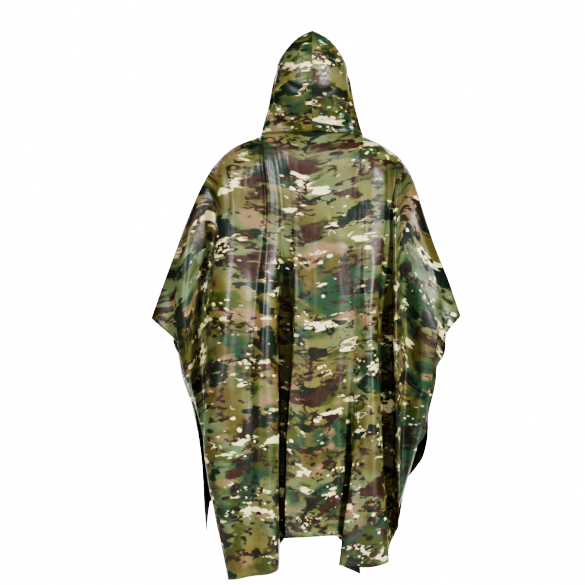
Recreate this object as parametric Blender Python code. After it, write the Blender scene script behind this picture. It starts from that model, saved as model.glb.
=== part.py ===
"""Hooded rain poncho, hanging as it does on a wearer, with the hood up and the arms a little out.

Metres, +Z up. The origin is the middle of the neck seam, where the shoulders carry the garment.
The wearer would face -Y, so the back panel is at +Y, and left, the wearer's left, is +X.
Each panel is a wall of cloth. A panel is laid out in its own cloth: u runs across from the middle to
the side edge, t runs down from the shoulder seam (0) to the hem (1). A table row is one fold: where
it lies in the cloth at the seam and at the hem, and where it hangs at three heights and at the hem.
"""
import math

import bpy
from mathutils import Vector

# ---- driving sizes ------------------------------------------------------------------------------
WALL = 0.0016             # cloth wall
SEAM_GAP = 0.0003         # between sewn pieces
HALF_WIDTH = 0.72         # cloth, middle to side edge
NECK_HALF = 0.135         # cloth taken by half of the neck hole
NECK_X = -0.009           # middle of neck ring and hood
NECK_WIDE = 0.140         # half width of neck ring
NECK_BACK = 0.078         # ring, middle to nape
NECK_FRONT = 0.104        # ring, middle to throat
NECK_RISE = 0.014         # ring height at the nape
NECK_DIP = 0.055          # how far the throat lies lower
HOOD_TALL = 0.292         # peak above the origin
BODY_ROWS = 17
SETTLE = 0.30             # share of the length by which the cloth has left the seam's shape
HOOD_COLUMNS = 22         # cells round each half of the hood, 7.5 degrees each at the neck
HOOD_ROWS = 10
STUD_RADIUS = 0.0055
STUD_TALL = 0.0022
STUD_INSET = 0.016        # from side edge to middle of stud
STUD_GAP = 0.0005         # between stud and cloth
STUD_SIDES = 12
STUD_ACROSS = 0.066       # cloth that a stud draws flat, across
STUD_ALONG = 0.120        # and along the side edge
STUD_MEET = 0.0045        # y of each panel at a stud
STUD_DRAW = 0.70          # how far the drawn cloth reaches out, against its own width
STUD_RISE = 0.015         # how much higher the cloth lies at a stud than at the side edge
STUD_HEIGHT = {1: -0.636, -1: -0.655}   # of the stud on each side edge

# ---- shoulder and arm line, neck to elbow: x and z on each side, and y --------------------------
#        x left  z left  x right  z right     y
RIDGE = (
    (0.196, -0.017, 0.205, -0.018, 0.000),
    (0.245, -0.057, 0.248, -0.051, 0.000),
    (0.281, -0.110, 0.281, -0.103, 0.000),
    (0.328, -0.215, 0.313, -0.201, -0.003),
    (0.361, -0.303, 0.343, -0.289, -0.006),
    (0.397, -0.400, 0.379, -0.378, -0.010),
    (0.426, -0.481, 0.412, -0.474, -0.014),
)

# ---- folds, middle to side: cloth u at seam and hem, cells from the fold before, then x and y at
# each height, and the hem height. Folds that start on the neck ring share its 0.01125 m cells. ------
HEIGHTS = (-0.22, -0.52, -0.80)
#              u seam   u hem  cells x1     y1      x2     y2      x3     y3     x hem  y hem   z hem
BACK_LEFT = (
    ("plateau", 0.04500, 0.070, 4, 0.036, 0.137, 0.037, 0.146, 0.058, 0.150, 0.062, 0.152, -1.060),
    ("slot near", 0.05625, 0.115, 1, 0.046, 0.131, 0.045, 0.088, 0.062, 0.086, 0.067, 0.090, -1.070),
    ("slot far", 0.06750, 0.160, 1, 0.066, 0.124, 0.078, 0.086, 0.076, 0.085, 0.075, 0.088, -1.084),
    ("roll edge", 0.0900, 0.235, 2, 0.084, 0.134, 0.087, 0.150, 0.080, 0.160, 0.079, 0.166, -1.138),
    ("roll", 0.1125, 0.290, 2, 0.106, 0.137, 0.116, 0.172, 0.110, 0.182, 0.106, 0.186, -1.150),
    ("soft dip", 0.1575, 0.360, 4, 0.128, 0.124, 0.155, 0.146, 0.172, 0.156, 0.150, 0.162, -1.158),
    ("broad", 0.2150, 0.440, 2, 0.190, 0.124, 0.212, 0.150, 0.226, 0.158, 0.186, 0.160, -1.166),
    ("flank", 0.2620, 0.510, 2, 0.238, 0.096, 0.256, 0.114, 0.278, 0.110, 0.214, 0.126, -1.172),
    ("underarm", 0.3200, 0.570, 2, 0.256, 0.044, 0.290, 0.030, 0.270, 0.052, 0.194, 0.092, -1.174),
    ("sleeve fall", 0.4200, 0.630, 2, 0.284, 0.062, 0.330, 0.074, 0.282, 0.050, 0.208, 0.082, -1.175),
    ("arm", 0.5400, 0.680, 2, 0.340, 0.030, 0.352, 0.056, 0.280, 0.030, 0.214, 0.062, -1.176),
)
BACK_RIGHT = (
    ("plateau", 0.06750, 0.085, 6, 0.070, 0.137, 0.076, 0.142, 0.076, 0.142, 0.068, 0.142, -1.054),
    ("soft dip", 0.10125, 0.160, 3, 0.108, 0.134, 0.114, 0.130, 0.112, 0.114, 0.138, 0.084, -1.162),
    ("roll edge", 0.13500, 0.240, 3, 0.130, 0.136, 0.134, 0.144, 0.120, 0.150, 0.076, 0.158, -1.128),
    ("roll", 0.1650, 0.310, 2, 0.152, 0.140, 0.158, 0.164, 0.164, 0.178, 0.150, 0.188, -1.132),
    ("roll side", 0.2100, 0.385, 2, 0.200, 0.126, 0.180, 0.146, 0.192, 0.152, 0.212, 0.158, -1.118),
    ("slot near", 0.2240, 0.430, 1, 0.210, 0.110, 0.186, 0.088, 0.198, 0.087, 0.210, 0.098, -1.108),
    ("slot far", 0.2400, 0.470, 1, 0.220, 0.098, 0.220, 0.076, 0.224, 0.076, 0.218, 0.086, -1.080),
    ("rib", 0.2580, 0.515, 2, 0.230, 0.116, 0.230, 0.132, 0.236, 0.136, 0.238, 0.118, -1.030),
    ("underarm", 0.3000, 0.590, 2, 0.248, 0.082, 0.262, 0.038, 0.254, 0.052, 0.232, 0.072, -1.010),
    ("sleeve fall", 0.4000, 0.640, 2, 0.274, 0.050, 0.310, 0.062, 0.280, 0.058, 0.234, 0.052, -1.020),
    ("arm", 0.5400, 0.685, 2, 0.330, 0.030, 0.344, 0.056, 0.298, 0.036, 0.226, 0.036, -1.040),
)
FRONT_LEFT = (
    ("plateau", 0.0450, 0.080, 4, 0.045, 0.148, 0.050, 0.165, 0.055, 0.176, 0.060, 0.184, -1.006),
    ("dip", 0.0900, 0.160, 4, 0.082, 0.138, 0.084, 0.122, 0.087, 0.106, 0.090, 0.100, -1.012),
    ("roll", 0.1350, 0.270, 4, 0.118, 0.144, 0.124, 0.170, 0.132, 0.190, 0.138, 0.200, -1.022),
    ("valley", 0.1800, 0.370, 2, 0.164, 0.124, 0.178, 0.112, 0.184, 0.104, 0.184, 0.100, -1.012),
    ("broad", 0.2400, 0.460, 2, 0.214, 0.114, 0.232, 0.146, 0.240, 0.164, 0.228, 0.168, -1.000),
    ("underarm", 0.3200, 0.550, 2, 0.262, 0.052, 0.290, 0.054, 0.274, 0.084, 0.250, 0.094, -0.986),
    ("arm", 0.5000, 0.650, 3, 0.330, 0.040, 0.350, 0.064, 0.294, 0.036, 0.266, 0.024, -0.978),
)
FRONT_RIGHT = (
    ("plateau", 0.06750, 0.095, 6, 0.055, 0.145, 0.060, 0.150, 0.064, 0.152, 0.070, 0.152, -1.004),
    ("dip", 0.10125, 0.180, 3, 0.098, 0.136, 0.104, 0.118, 0.110, 0.104, 0.114, 0.098, -1.010),
    ("roll", 0.13500, 0.300, 3, 0.140, 0.142, 0.152, 0.174, 0.162, 0.196, 0.164, 0.204, -1.026),
    ("valley", 0.2050, 0.400, 2, 0.190, 0.118, 0.202, 0.106, 0.202, 0.100, 0.196, 0.096, -1.022),
    ("broad", 0.2600, 0.490, 2, 0.232, 0.106, 0.246, 0.140, 0.250, 0.156, 0.228, 0.160, -1.018),
    ("underarm", 0.3300, 0.570, 2, 0.264, 0.052, 0.284, 0.056, 0.276, 0.078, 0.228, 0.086, -1.016),
    ("arm", 0.5000, 0.660, 3, 0.322, 0.040, 0.342, 0.064, 0.304, 0.044, 0.222, 0.040, -1.030),
)
MIDDLE_BACK = ("middle", 0.0, 0.0, 0, 0.0, 0.137, 0.0, 0.140, 0.0, 0.142, 0.0, 0.142, -1.058)
MIDDLE_FRONT = ("middle", 0.0, 0.0, 0, 0.0, 0.145, 0.0, 0.150, 0.0, 0.154, 0.0, 0.158, -1.002)
EDGE_CELLS = 3            # from the last fold to the side edge

# ---- side edges below the elbow: height, x and y ------------------------------------------------
#    z      x      y
EDGE_BACK_LEFT = (
    (-0.546, 0.354, 0.030),
    (-0.592, 0.324, 0.014),
    (-0.700, 0.302, 0.010),
    (-0.850, 0.276, 0.016),
    (-0.980, 0.258, 0.030),
    (-1.176, 0.213, 0.050),
)
EDGE_BACK_RIGHT = (
    (-0.529, 0.370, 0.034),
    (-0.558, 0.368, 0.032),
    (-0.592, 0.355, 0.024),
    (-0.659, 0.313, 0.008),
    (-0.780, 0.316, 0.012),
    (-0.871, 0.258, 0.026),
    (-0.950, 0.236, 0.030),
    (-1.050, 0.222, 0.022),
)
EDGE_FRONT_LEFT = (
    (-0.546, 0.359, -0.028),
    (-0.578, 0.352, -0.020),
    (-0.596, 0.328, -0.012),
    (-0.700, 0.312, 0.000),
    (-0.850, 0.289, 0.010),
    (-0.980, 0.281, 0.022),
    (-1.063, 0.275, 0.030),
)
EDGE_FRONT_RIGHT = (
    (-0.529, 0.371, -0.032),
    (-0.558, 0.368, -0.030),
    (-0.590, 0.353, -0.022),
    (-0.659, 0.310, -0.006),
    (-0.790, 0.324, -0.010),
    (-0.855, 0.311, -0.012),
    (-0.885, 0.292, -0.012),
    (-0.930, 0.261, -0.014),
    (-1.000, 0.252, -0.014),
    (-1.040, 0.243, -0.016),
    (-1.076, 0.223, -0.016),
)

# ---- hood, neck (0) to crown (1): half width, back, face edge, and how far round the face edge is --
#          up     wide    back    face    turn (degrees from the nape)
HOOD = (
    (0.00, 0.1400, 0.078, -0.104, 165),
    (0.08, 0.1340, 0.090, -0.106, 150),
    (0.19, 0.1255, 0.105, -0.108, 134),
    (0.31, 0.1170, 0.120, -0.110, 124),
    (0.46, 0.1090, 0.130, -0.113, 118),
    (0.60, 0.1010, 0.130, -0.118, 114),
    (0.72, 0.0920, 0.121, -0.122, 111),
    (0.82, 0.0770, 0.106, -0.124, 109),
    (0.90, 0.0580, 0.088, -0.122, 107),
    (0.97, 0.0260, 0.066, -0.116, 105),
    (1.00, 0.0000, 0.050, -0.108, 104),
)
CROWN_FALL = 0.30         # how steeply the crown seam falls towards the forehead


def spline(knots, values, at):
    """Cubic through the values that never overshoots them, for rising knots."""
    count = len(knots)
    if at <= knots[0]:
        return values[0]
    if at >= knots[-1]:
        return values[-1]
    rise = [(values[i + 1] - values[i]) / (knots[i + 1] - knots[i]) for i in range(count - 1)]
    slope = [rise[0]]
    for i in range(1, count - 1):
        both = rise[i - 1] * rise[i]
        slope.append(0.0 if both <= 0 else 2 * both / (rise[i - 1] + rise[i]))
    slope.append(rise[-1])
    i = max(k for k in range(count - 1) if knots[k] <= at)
    span = knots[i + 1] - knots[i]
    s = (at - knots[i]) / span
    return (values[i] * (1 + 2 * s) * (1 - s) ** 2 + values[i + 1] * s * s * (3 - 2 * s)
            + span * s * (1 - s) * (slope[i] * (1 - s) - slope[i + 1] * s))


def ring_point(angle):
    """Point of the neck seam, angle 0 at the nape, positive towards +X."""
    turn = math.radians(angle)
    deep = NECK_BACK if math.cos(turn) > 0 else NECK_FRONT
    y = deep * math.cos(turn)
    return Vector((NECK_X + NECK_WIDE * math.sin(turn), y, ring_height(y)))


def ring_height(y):
    return NECK_RISE - NECK_DIP * ((NECK_BACK - y) / (NECK_BACK + NECK_FRONT)) ** 3


def ring_out(angle):
    """Level direction away from the neck, square to the ring."""
    turn = math.radians(angle)
    deep = NECK_BACK if math.cos(turn) > 0 else NECK_FRONT
    return Vector((math.sin(turn) / NECK_WIDE, math.cos(turn) / deep, 0)).normalized()


class TopLine:
    """The edge that a panel hangs from: half of the neck ring, then the shoulder and arm line."""

    def __init__(self, side, front):
        self.side = side
        self.front = front
        column = 0 if side > 0 else 2
        start = ring_point(90 * side)
        self.points = [start]
        for row in RIDGE:
            self.points.append(Vector((side * row[column], row[4], row[column + 1])))
        self.knots = [0.0]
        for a, b in zip(self.points, self.points[1:]):
            self.knots.append(self.knots[-1] + (b - a).length)
        reach = HALF_WIDTH - NECK_HALF
        self.knots = [NECK_HALF + k * reach / self.knots[-1] for k in self.knots]

    def point(self, u):
        if u < NECK_HALF:
            quarter = 90 * u / NECK_HALF
            return ring_point(self.side * (180 - quarter if self.front else quarter))
        return Vector([spline(self.knots, [p[axis] for p in self.points], u) for axis in range(3)])

    def normal(self, u):
        """Outward direction that both sewn pieces share on the seam."""
        if u < NECK_HALF:
            quarter = 90 * u / NECK_HALF
            out = ring_out(self.side * (180 - quarter if self.front else quarter))
            return (out + Vector((0, 0, 1))).normalized()
        step = 0.004
        along = self.point(min(u + step, HALF_WIDTH)) - self.point(max(u - step, NECK_HALF))
        return Vector((-along.z * self.side, 0, along.x * self.side)).normalized()


class Panel:
    """Front or back of the poncho, each side hung from its top line by its folds."""

    def __init__(self, left, right, middle, edges, front):
        self.front = front
        self.facing = -1 if front else 1
        self.sides = {}
        for side, rows, edge in ((1, left, edges[0]), (-1, right, edges[1])):
            top = TopLine(side, front)
            lines = [self.fold_line(top, row) for row in (middle,) + rows]
            lines.append(self.edge_line(top, edge))
            lengths, curve = lines[-1][3]
            stud = max(k for k, p in enumerate(curve) if p.z >= STUD_HEIGHT[side])
            self.sides[side] = (top, lines, lengths[stud])

    def fold_line(self, top, row):
        """A fold as cloth places, cells and a curve from the seam to the hem."""
        name, u_seam, u_hem, cells = row[:4]
        start = top.point(u_seam)
        stations = [(start.z, start.x * top.side, row[5])]
        for height, x, y in zip(HEIGHTS, row[4:10:2], row[5:10:2]):
            if height < start.z - 0.05:
                stations.append((height, x, y))
        stations.append((row[12], row[10], row[11]))
        return u_seam, u_hem, cells, self.hang(top, start, stations, 0.10)

    def edge_line(self, top, rows):
        start = top.point(HALF_WIDTH)
        stations = [(start.z, start.x * top.side, rows[0][2] * self.facing)]
        stations += [(z, x, y * self.facing) for z, x, y in rows]
        return HALF_WIDTH, HALF_WIDTH, EDGE_CELLS, self.hang(top, start, stations, 0.04)

    def hang(self, top, start, stations, rounding):
        """Curve down through the stations, rounded over the shoulder, evenly spaced along itself."""
        falls = [start.z - s[0] for s in stations]
        steps = 90
        curve = []
        for k in range(steps + 1):
            fall = falls[-1] * (k / steps) ** 1.5
            x = spline(falls, [s[1] for s in stations], fall) * top.side
            y = spline(falls, [s[2] for s in stations], fall) * self.facing
            share = min(1.0, fall / rounding)
            over = math.sqrt(1 - (1 - share) ** 2)
            curve.append(Vector((x, start.y + (y - start.y) * over, start.z - fall)))
        lengths = [0.0]
        for a, b in zip(curve, curve[1:]):
            lengths.append(lengths[-1] + (b - a).length)
        return lengths, curve

    def along(self, line, t):
        """Point of a fold line at t of its length."""
        lengths, curve = line
        want = t * lengths[-1]
        for k in range(1, len(lengths)):
            if lengths[k] >= want:
                share = (want - lengths[k - 1]) / (lengths[k] - lengths[k - 1])
                return curve[k - 1].lerp(curve[k], share)
        return curve[-1].copy()

    def across(self, side, t):
        """Points of one row from the middle to the side edge, with their places on the seam."""
        top, lines, stud = self.sides[side]
        seam_knots = [seam for seam, hem, cells, line in lines]
        knots = [seam + (hem - seam) * t for seam, hem, cells, line in lines]
        held = [self.along(line, t) for seam, hem, cells, line in lines]
        rest = [self.along(line, 0.0) for seam, hem, cells, line in lines]
        fade = max(0.0, 1 - t / SETTLE) ** 2
        shares = [(0, 0.0)]
        for k, fold in enumerate(lines[1:]):
            shares += [(k, cell / fold[2]) for cell in range(1, fold[2] + 1)]
        row = []
        for k, share in shares:
            place = seam_knots[k] + (seam_knots[k + 1] - seam_knots[k]) * share
            u = knots[k] + (knots[k + 1] - knots[k]) * share
            point = Vector([spline(knots, [p[axis] for p in held], u) for axis in range(3)])
            if fade:
                drawn = [spline(seam_knots, [p[axis] for p in rest], place) for axis in range(3)]
                point += (top.point(place) - Vector(drawn)) * fade
            down = t * lines[-1][3][0][-1] - stud
            away = math.hypot((HALF_WIDTH - STUD_INSET - u) / STUD_ACROSS, down / STUD_ALONG)
            out = held[-1].x + side * STUD_DRAW * (HALF_WIDTH - u)
            flat = Vector((out, self.facing * STUD_MEET, point.z))
            row.append((place, point.lerp(flat, max(0.0, 1 - away ** 4) ** 2)))
        return row

    def grid(self, rows):
        """Rows of points from the seam to the hem, +X edge to -X edge, and their outward normals."""
        points = []
        for j in range(rows + 1):
            left = self.across(1, j / rows)
            right = self.across(-1, j / rows)
            middle = (left[0][1] + right[0][1]) / 2
            points.append([p for u, p in left[:0:-1]] + [middle] + [p for u, p in right[1:]])
        normals = grid_normals(points, self.facing)
        places = [(1, u) for u, p in left[:0:-1]] + [(1, 0.0)] + [(-1, u) for u, p in right[1:]]
        for i, (side, u) in enumerate(places):
            normals[0][i] = self.sides[side][0].normal(u)
            if u < NECK_HALF - SEAM_GAP:
                away = normals[0][i].copy()
                away.z = -away.z
                points[0][i] += away.normalized() * SEAM_GAP / 2
            else:
                points[0][i].y += self.facing * SEAM_GAP / 2
        return points, normals


def grid_normals(points, facing):
    """Unit normals of a grid of points, turned to the side given by facing."""
    rows, columns = len(points), len(points[0])
    normals = []
    for j in range(rows):
        line = []
        for i in range(columns):
            across = points[j][min(i + 1, columns - 1)] - points[j][max(i - 1, 0)]
            down = points[min(j + 1, rows - 1)][i] - points[max(j - 1, 0)][i]
            line.append((down.cross(across) * facing).normalized())
        normals.append(line)
    return normals


def wall_mesh(name, points, normals, flip=False):
    """Closed wall of cloth: outer points, inner points a wall behind them, and a rim all round."""
    rows, columns = len(points), len(points[0])
    outer = [p for line in points for p in line]
    inner = [p - n * WALL for line, ns in zip(points, normals) for p, n in zip(line, ns)]
    faces = []
    back = rows * columns
    for j in range(rows - 1):
        for i in range(columns - 1):
            a, b = j * columns + i, j * columns + i + 1
            c, d = b + columns, a + columns
            faces += [(a, b, c), (a, c, d)]
            faces += [(back + c, back + b, back + a), (back + d, back + c, back + a)]
    border = [i for i in range(columns)]
    border += [j * columns + columns - 1 for j in range(1, rows)]
    border += [(rows - 1) * columns + i for i in range(columns - 2, -1, -1)]
    border += [j * columns for j in range(rows - 2, 0, -1)]
    for a, b in zip(border, border[1:] + border[:1]):
        faces.append((b, a, back + a, back + b))
    if flip:
        faces = [face[::-1] for face in faces]
    mesh = bpy.data.meshes.new(name)
    mesh.from_pydata(outer + inner, [], faces)
    mesh.update()
    return mesh


def surface(name, colour, roughness=0.42, metallic=0.0):
    material = bpy.data.materials.new(name)
    material.use_nodes = True
    shader = material.node_tree.nodes["Principled BSDF"]
    shader.inputs["Base Color"].default_value = (*colour, 1)
    shader.inputs["Roughness"].default_value = roughness
    shader.inputs["Metallic"].default_value = metallic
    return material


def place(name, mesh, material):
    mesh.materials.append(material)
    mesh.shade_smooth()
    mesh.set_sharp_from_angle(angle=math.radians(50))
    piece = bpy.data.objects.new(name, mesh)
    bpy.context.scene.collection.objects.link(piece)
    return piece


def hood_half(side):
    """One side panel of the hood: rows rise from the neck seam, columns go from nape to face."""
    up = [row[0] for row in HOOD]
    points = []
    for j in range(HOOD_ROWS + 1):
        h = 1 - (1 - j / HOOD_ROWS) ** 1.25
        wide, back, face, turn = (spline(up, [row[k] for row in HOOD], h) for k in range(1, 5))
        line = []
        for i in range(HOOD_COLUMNS + 1):
            angle = math.radians(turn * i / HOOD_COLUMNS)
            x = wide * math.sin(angle)
            if math.cos(angle) > 0:
                y = back * math.cos(angle)
            else:
                y = face * math.cos(angle) / math.cos(math.radians(turn))
                y = y if j else NECK_FRONT * math.cos(angle)
            low = ring_height(max(min(y, NECK_BACK), -NECK_FRONT))
            high = HOOD_TALL - CROWN_FALL * max(0.0, 0.05 - y)
            line.append(Vector((NECK_X + side * x, y, low + (high - low) * h)))
        points.append(line)
    normals = grid_normals(points, side)
    for j, line in enumerate(points):
        normals[j][0].x = 0
        normals[j][0].normalize()
        line[0].x = NECK_X + side * SEAM_GAP / 2
    for i in range(HOOD_COLUMNS + 1):
        angle = side * HOOD[0][4] * i / HOOD_COLUMNS
        out = ring_out(angle)
        normals[0][i] = (out + Vector((0, 0, 1))).normalized()
        points[0][i] -= (out - Vector((0, 0, 1))).normalized() * SEAM_GAP / 2
        normals[-1][i] = Vector((0, 0.2, 1)).normalized()
        points[-1][i].x = NECK_X + side * SEAM_GAP / 2
    return points, normals


def behind(points, normals):
    """The wrong side of the cloth."""
    return [[p - n * WALL for p, n in zip(line, ns)] for line, ns in zip(points, normals)]


def face_y(points, x, z):
    """Y of a panel's own facets at x and z, by its side edge."""
    columns = len(points[0])
    last = (columns - 2, columns - 3) if x < 0 else (0, 1)
    for upper, lower in zip(points, points[1:]):
        for i in last:
            for a, b, c in ((upper[i], upper[i + 1], lower[i + 1]), (upper[i], lower[i + 1], lower[i])):
                area = (b.x - a.x) * (c.z - a.z) - (c.x - a.x) * (b.z - a.z)
                v = ((x - a.x) * (c.z - a.z) - (c.x - a.x) * (z - a.z)) / area
                w = ((b.x - a.x) * (z - a.z) - (x - a.x) * (b.z - a.z)) / area
                if v >= 0 and w >= 0 and v + w <= 1:
                    return a.y + (b.y - a.y) * v + (c.y - a.y) * w
    raise ValueError("no cloth at this place")


def stud_place(points, side):
    """Middle of a stud, as x and z; the side edge turns inwards, so its cloth lies outside it."""
    edge = [line[0 if side > 0 else -1] for line in points]
    fall = [-p.z for p in edge]
    x = spline(fall, [p.x for p in edge], -STUD_HEIGHT[side]) + side * STUD_INSET
    return x, STUD_HEIGHT[side] + STUD_RISE


def stud_spots(middle):
    """Share of the radius, x and z of each point of a stud's face."""
    spots = [(0.0, middle[0], middle[1])]
    for share in (0.6, 1.0):
        for i in range(STUD_SIDES):
            turn = 2 * math.pi * i / STUD_SIDES
            spots.append((share, middle[0] + STUD_RADIUS * share * math.cos(turn),
                          middle[1] + STUD_RADIUS * share * math.sin(turn)))
    return spots


def stud_mesh(name, middle, low, high, low_dome=0.0, high_dome=0.0):
    """Round metal body from y low to y high, domed where it shows."""
    verts = []
    for y, dome in ((low, -low_dome), (high, high_dome)):
        verts += [(x, y + dome * (1 - 0.7 * share * share), z) for share, x, z in stud_spots(middle)]
    half = 1 + 2 * STUD_SIDES
    faces = []
    for i in range(STUD_SIDES):
        a, b = 1 + i, 1 + (i + 1) % STUD_SIDES
        c, d = a + STUD_SIDES, b + STUD_SIDES
        faces += [(0, a, b), (a, c, d), (a, d, b)]
        faces += [(half, half + b, half + a), (half + a, half + d, half + c), (half + a, half + b, half + d)]
        faces += [(c, half + c, half + d), (c, half + d, d)]
    mesh = bpy.data.meshes.new(name)
    mesh.from_pydata(verts, [], faces)
    mesh.update()
    return mesh


for leftover in list(bpy.data.objects):
    bpy.data.objects.remove(leftover, do_unlink=True)

back_panel = Panel(BACK_LEFT, BACK_RIGHT, MIDDLE_BACK, (EDGE_BACK_LEFT, EDGE_BACK_RIGHT), False)
front_panel = Panel(FRONT_LEFT, FRONT_RIGHT, MIDDLE_FRONT, (EDGE_FRONT_LEFT, EDGE_FRONT_RIGHT), True)
back = back_panel.grid(BODY_ROWS)
front = front_panel.grid(BODY_ROWS)
place("back", wall_mesh("back", *back, flip=True), surface("back_cloth", (0.16, 0.18, 0.09)))
place("front", wall_mesh("front", *front), surface("front_cloth", (0.14, 0.16, 0.08)))
place("hood_left", wall_mesh("hood_left", *hood_half(1), flip=True),
      surface("hood_left_cloth", (0.17, 0.17, 0.09)))
place("hood_right", wall_mesh("hood_right", *hood_half(-1)),
      surface("hood_right_cloth", (0.15, 0.17, 0.10)))

back_face, back_wrong = back[0], behind(*back)
front_face, front_wrong = front[0], behind(*front)
for side, word in ((1, "left"), (-1, "right")):
    middle = stud_place(back_face, side)
    on_back = [face_y(points, x, z) for points in (back_face, back_wrong)
               for share, x, z in stud_spots(middle)]
    on_front = [face_y(points, x, z) for points in (front_face, front_wrong)
                for share, x, z in stud_spots(middle)]
    cap = max(on_back) + STUD_GAP
    clasp = (max(on_front) + STUD_GAP, min(on_back) - STUD_GAP)
    foot = min(on_front) - STUD_GAP
    studs = (("stud_cap_", stud_mesh("stud_cap", middle, cap, cap, 0.0, STUD_TALL)),
             ("stud_clasp_", stud_mesh("stud_clasp", middle, *clasp)),
             ("stud_foot_", stud_mesh("stud_foot", middle, foot, foot, STUD_TALL, 0.0)))
    for name, mesh in studs:
        place(name + word, mesh, surface(name + word + "_metal", (0.30, 0.30, 0.28), 0.35, 1.0))
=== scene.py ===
import math

import bpy
import numpy as np
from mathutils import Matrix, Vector, noise


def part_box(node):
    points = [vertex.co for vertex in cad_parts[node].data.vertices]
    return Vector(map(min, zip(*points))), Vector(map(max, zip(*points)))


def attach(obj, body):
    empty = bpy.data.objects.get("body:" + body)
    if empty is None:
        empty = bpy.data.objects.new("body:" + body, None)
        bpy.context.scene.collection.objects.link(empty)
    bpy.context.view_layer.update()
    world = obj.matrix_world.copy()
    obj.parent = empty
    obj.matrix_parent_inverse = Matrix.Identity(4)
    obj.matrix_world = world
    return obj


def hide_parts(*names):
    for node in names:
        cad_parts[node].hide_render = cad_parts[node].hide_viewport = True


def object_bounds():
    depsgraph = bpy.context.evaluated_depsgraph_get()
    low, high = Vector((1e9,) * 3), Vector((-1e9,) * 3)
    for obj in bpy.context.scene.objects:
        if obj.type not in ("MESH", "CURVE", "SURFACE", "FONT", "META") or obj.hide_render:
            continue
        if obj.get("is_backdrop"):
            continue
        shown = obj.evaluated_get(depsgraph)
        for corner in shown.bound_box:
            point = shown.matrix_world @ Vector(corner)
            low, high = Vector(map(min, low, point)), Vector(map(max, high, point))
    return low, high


# %% [markdown]
# # A hooded rain poncho
#
# A rain poncho is about the simplest garment there is: two big panels of coated cloth, sewn together
# along the shoulders and down the tops of the arms, and a hood of two halves sewn to the neck hole.
# What makes it look like cloth is the way it hangs. This lesson lays each panel out in its own cloth,
# hangs it from the shoulder seam by its folds, prints it, and then adds the hems, stitches and studs.
#
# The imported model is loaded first. It fixes the size and place of everything that follows.

# %% Load the frame
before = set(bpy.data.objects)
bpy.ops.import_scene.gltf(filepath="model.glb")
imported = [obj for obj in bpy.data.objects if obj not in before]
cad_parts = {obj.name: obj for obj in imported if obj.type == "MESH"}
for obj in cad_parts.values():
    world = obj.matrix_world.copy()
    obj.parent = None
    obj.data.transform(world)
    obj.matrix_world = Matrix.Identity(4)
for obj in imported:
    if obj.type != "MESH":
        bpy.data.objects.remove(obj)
cad_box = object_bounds()

# %% [markdown]
# ## Sizes
#
# The cut of the cloth and the neck ring are the same as on the solid pieces. Only the number of
# cells differs: the folds are drawn finer here, and the cloth is thinner.

# %% Sizes of the cut
CLOTH = 0.0007            # thickness of the coated cloth
HALF_WIDTH = 0.72         # cloth, middle to side edge
NECK_HALF = 0.135         # cloth taken by half of the neck hole
NECK_X = -0.009           # middle of neck ring and hood
NECK_WIDE = 0.140         # half width of neck ring
NECK_BACK = 0.078         # ring, middle to nape
NECK_FRONT = 0.104        # ring, middle to throat
NECK_RISE = 0.014         # ring height at the nape
NECK_DIP = 0.055          # how far the throat lies lower
HOOD_TALL = 0.292         # crown above the ring's middle
SETTLE = 0.30             # share of the length by which the cloth has left the seam's shape
STUD_INSET = 0.016        # from side edge to middle of stud
STUD_ACROSS = 0.066       # cloth that a stud draws flat, across
STUD_ALONG = 0.120        # and along the side edge
STUD_MEET = 0.0045        # y of each panel at a stud
STUD_DRAW = 0.70          # how far the drawn cloth reaches out, against its own width
STUD_HEIGHT = {1: -0.636, -1: -0.655}   # of the stud on each side edge
HEM = 0.014               # width of the turned hem
STITCH_IN = 0.002         # hem stitches, from the turned edge
SEAM_ROWS = (0.004, 0.013)     # two rows of stitches, down from a seam
FINER = 5                 # cells here for each cell of the solid
ROWS = 150                # from seam to hem
print("cloth across", 2 * HALF_WIDTH, "m, hem", HEM * 1000, "mm")

# %% [markdown]
# ## Where the folds hang
#
# A row of a table is one fold of the cloth. It says where the fold lies in the flat cloth at the
# seam and at the hem, and where it hangs at three heights and at the hem. Between two folds the
# cloth follows a smooth curve. Writing folds down in this way is quicker to adjust than a sculpted
# mesh, and the same few numbers give any number of faces.

# %% Tables of folds
# ---- shoulder and arm line, neck to elbow: x and z on each side, and y --------------------------
#        x left  z left  x right  z right     y
RIDGE = (
    (0.196, -0.017, 0.205, -0.018, 0.0),
    (0.245, -0.057, 0.248, -0.051, 0.0),
    (0.281, -0.11, 0.281, -0.103, 0.0),
    (0.328, -0.215, 0.313, -0.201, -0.003),
    (0.361, -0.303, 0.343, -0.289, -0.006),
    (0.397, -0.4, 0.379, -0.378, -0.01),
    (0.426, -0.481, 0.412, -0.474, -0.014),
)

# ---- folds, middle to side: cloth u at seam and hem, cells from the fold before, then x and y at
# each height, and the hem height. Folds that start on the neck ring share its 0.01125 m cells. ------
HEIGHTS = (-0.22, -0.52, -0.8)
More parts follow.
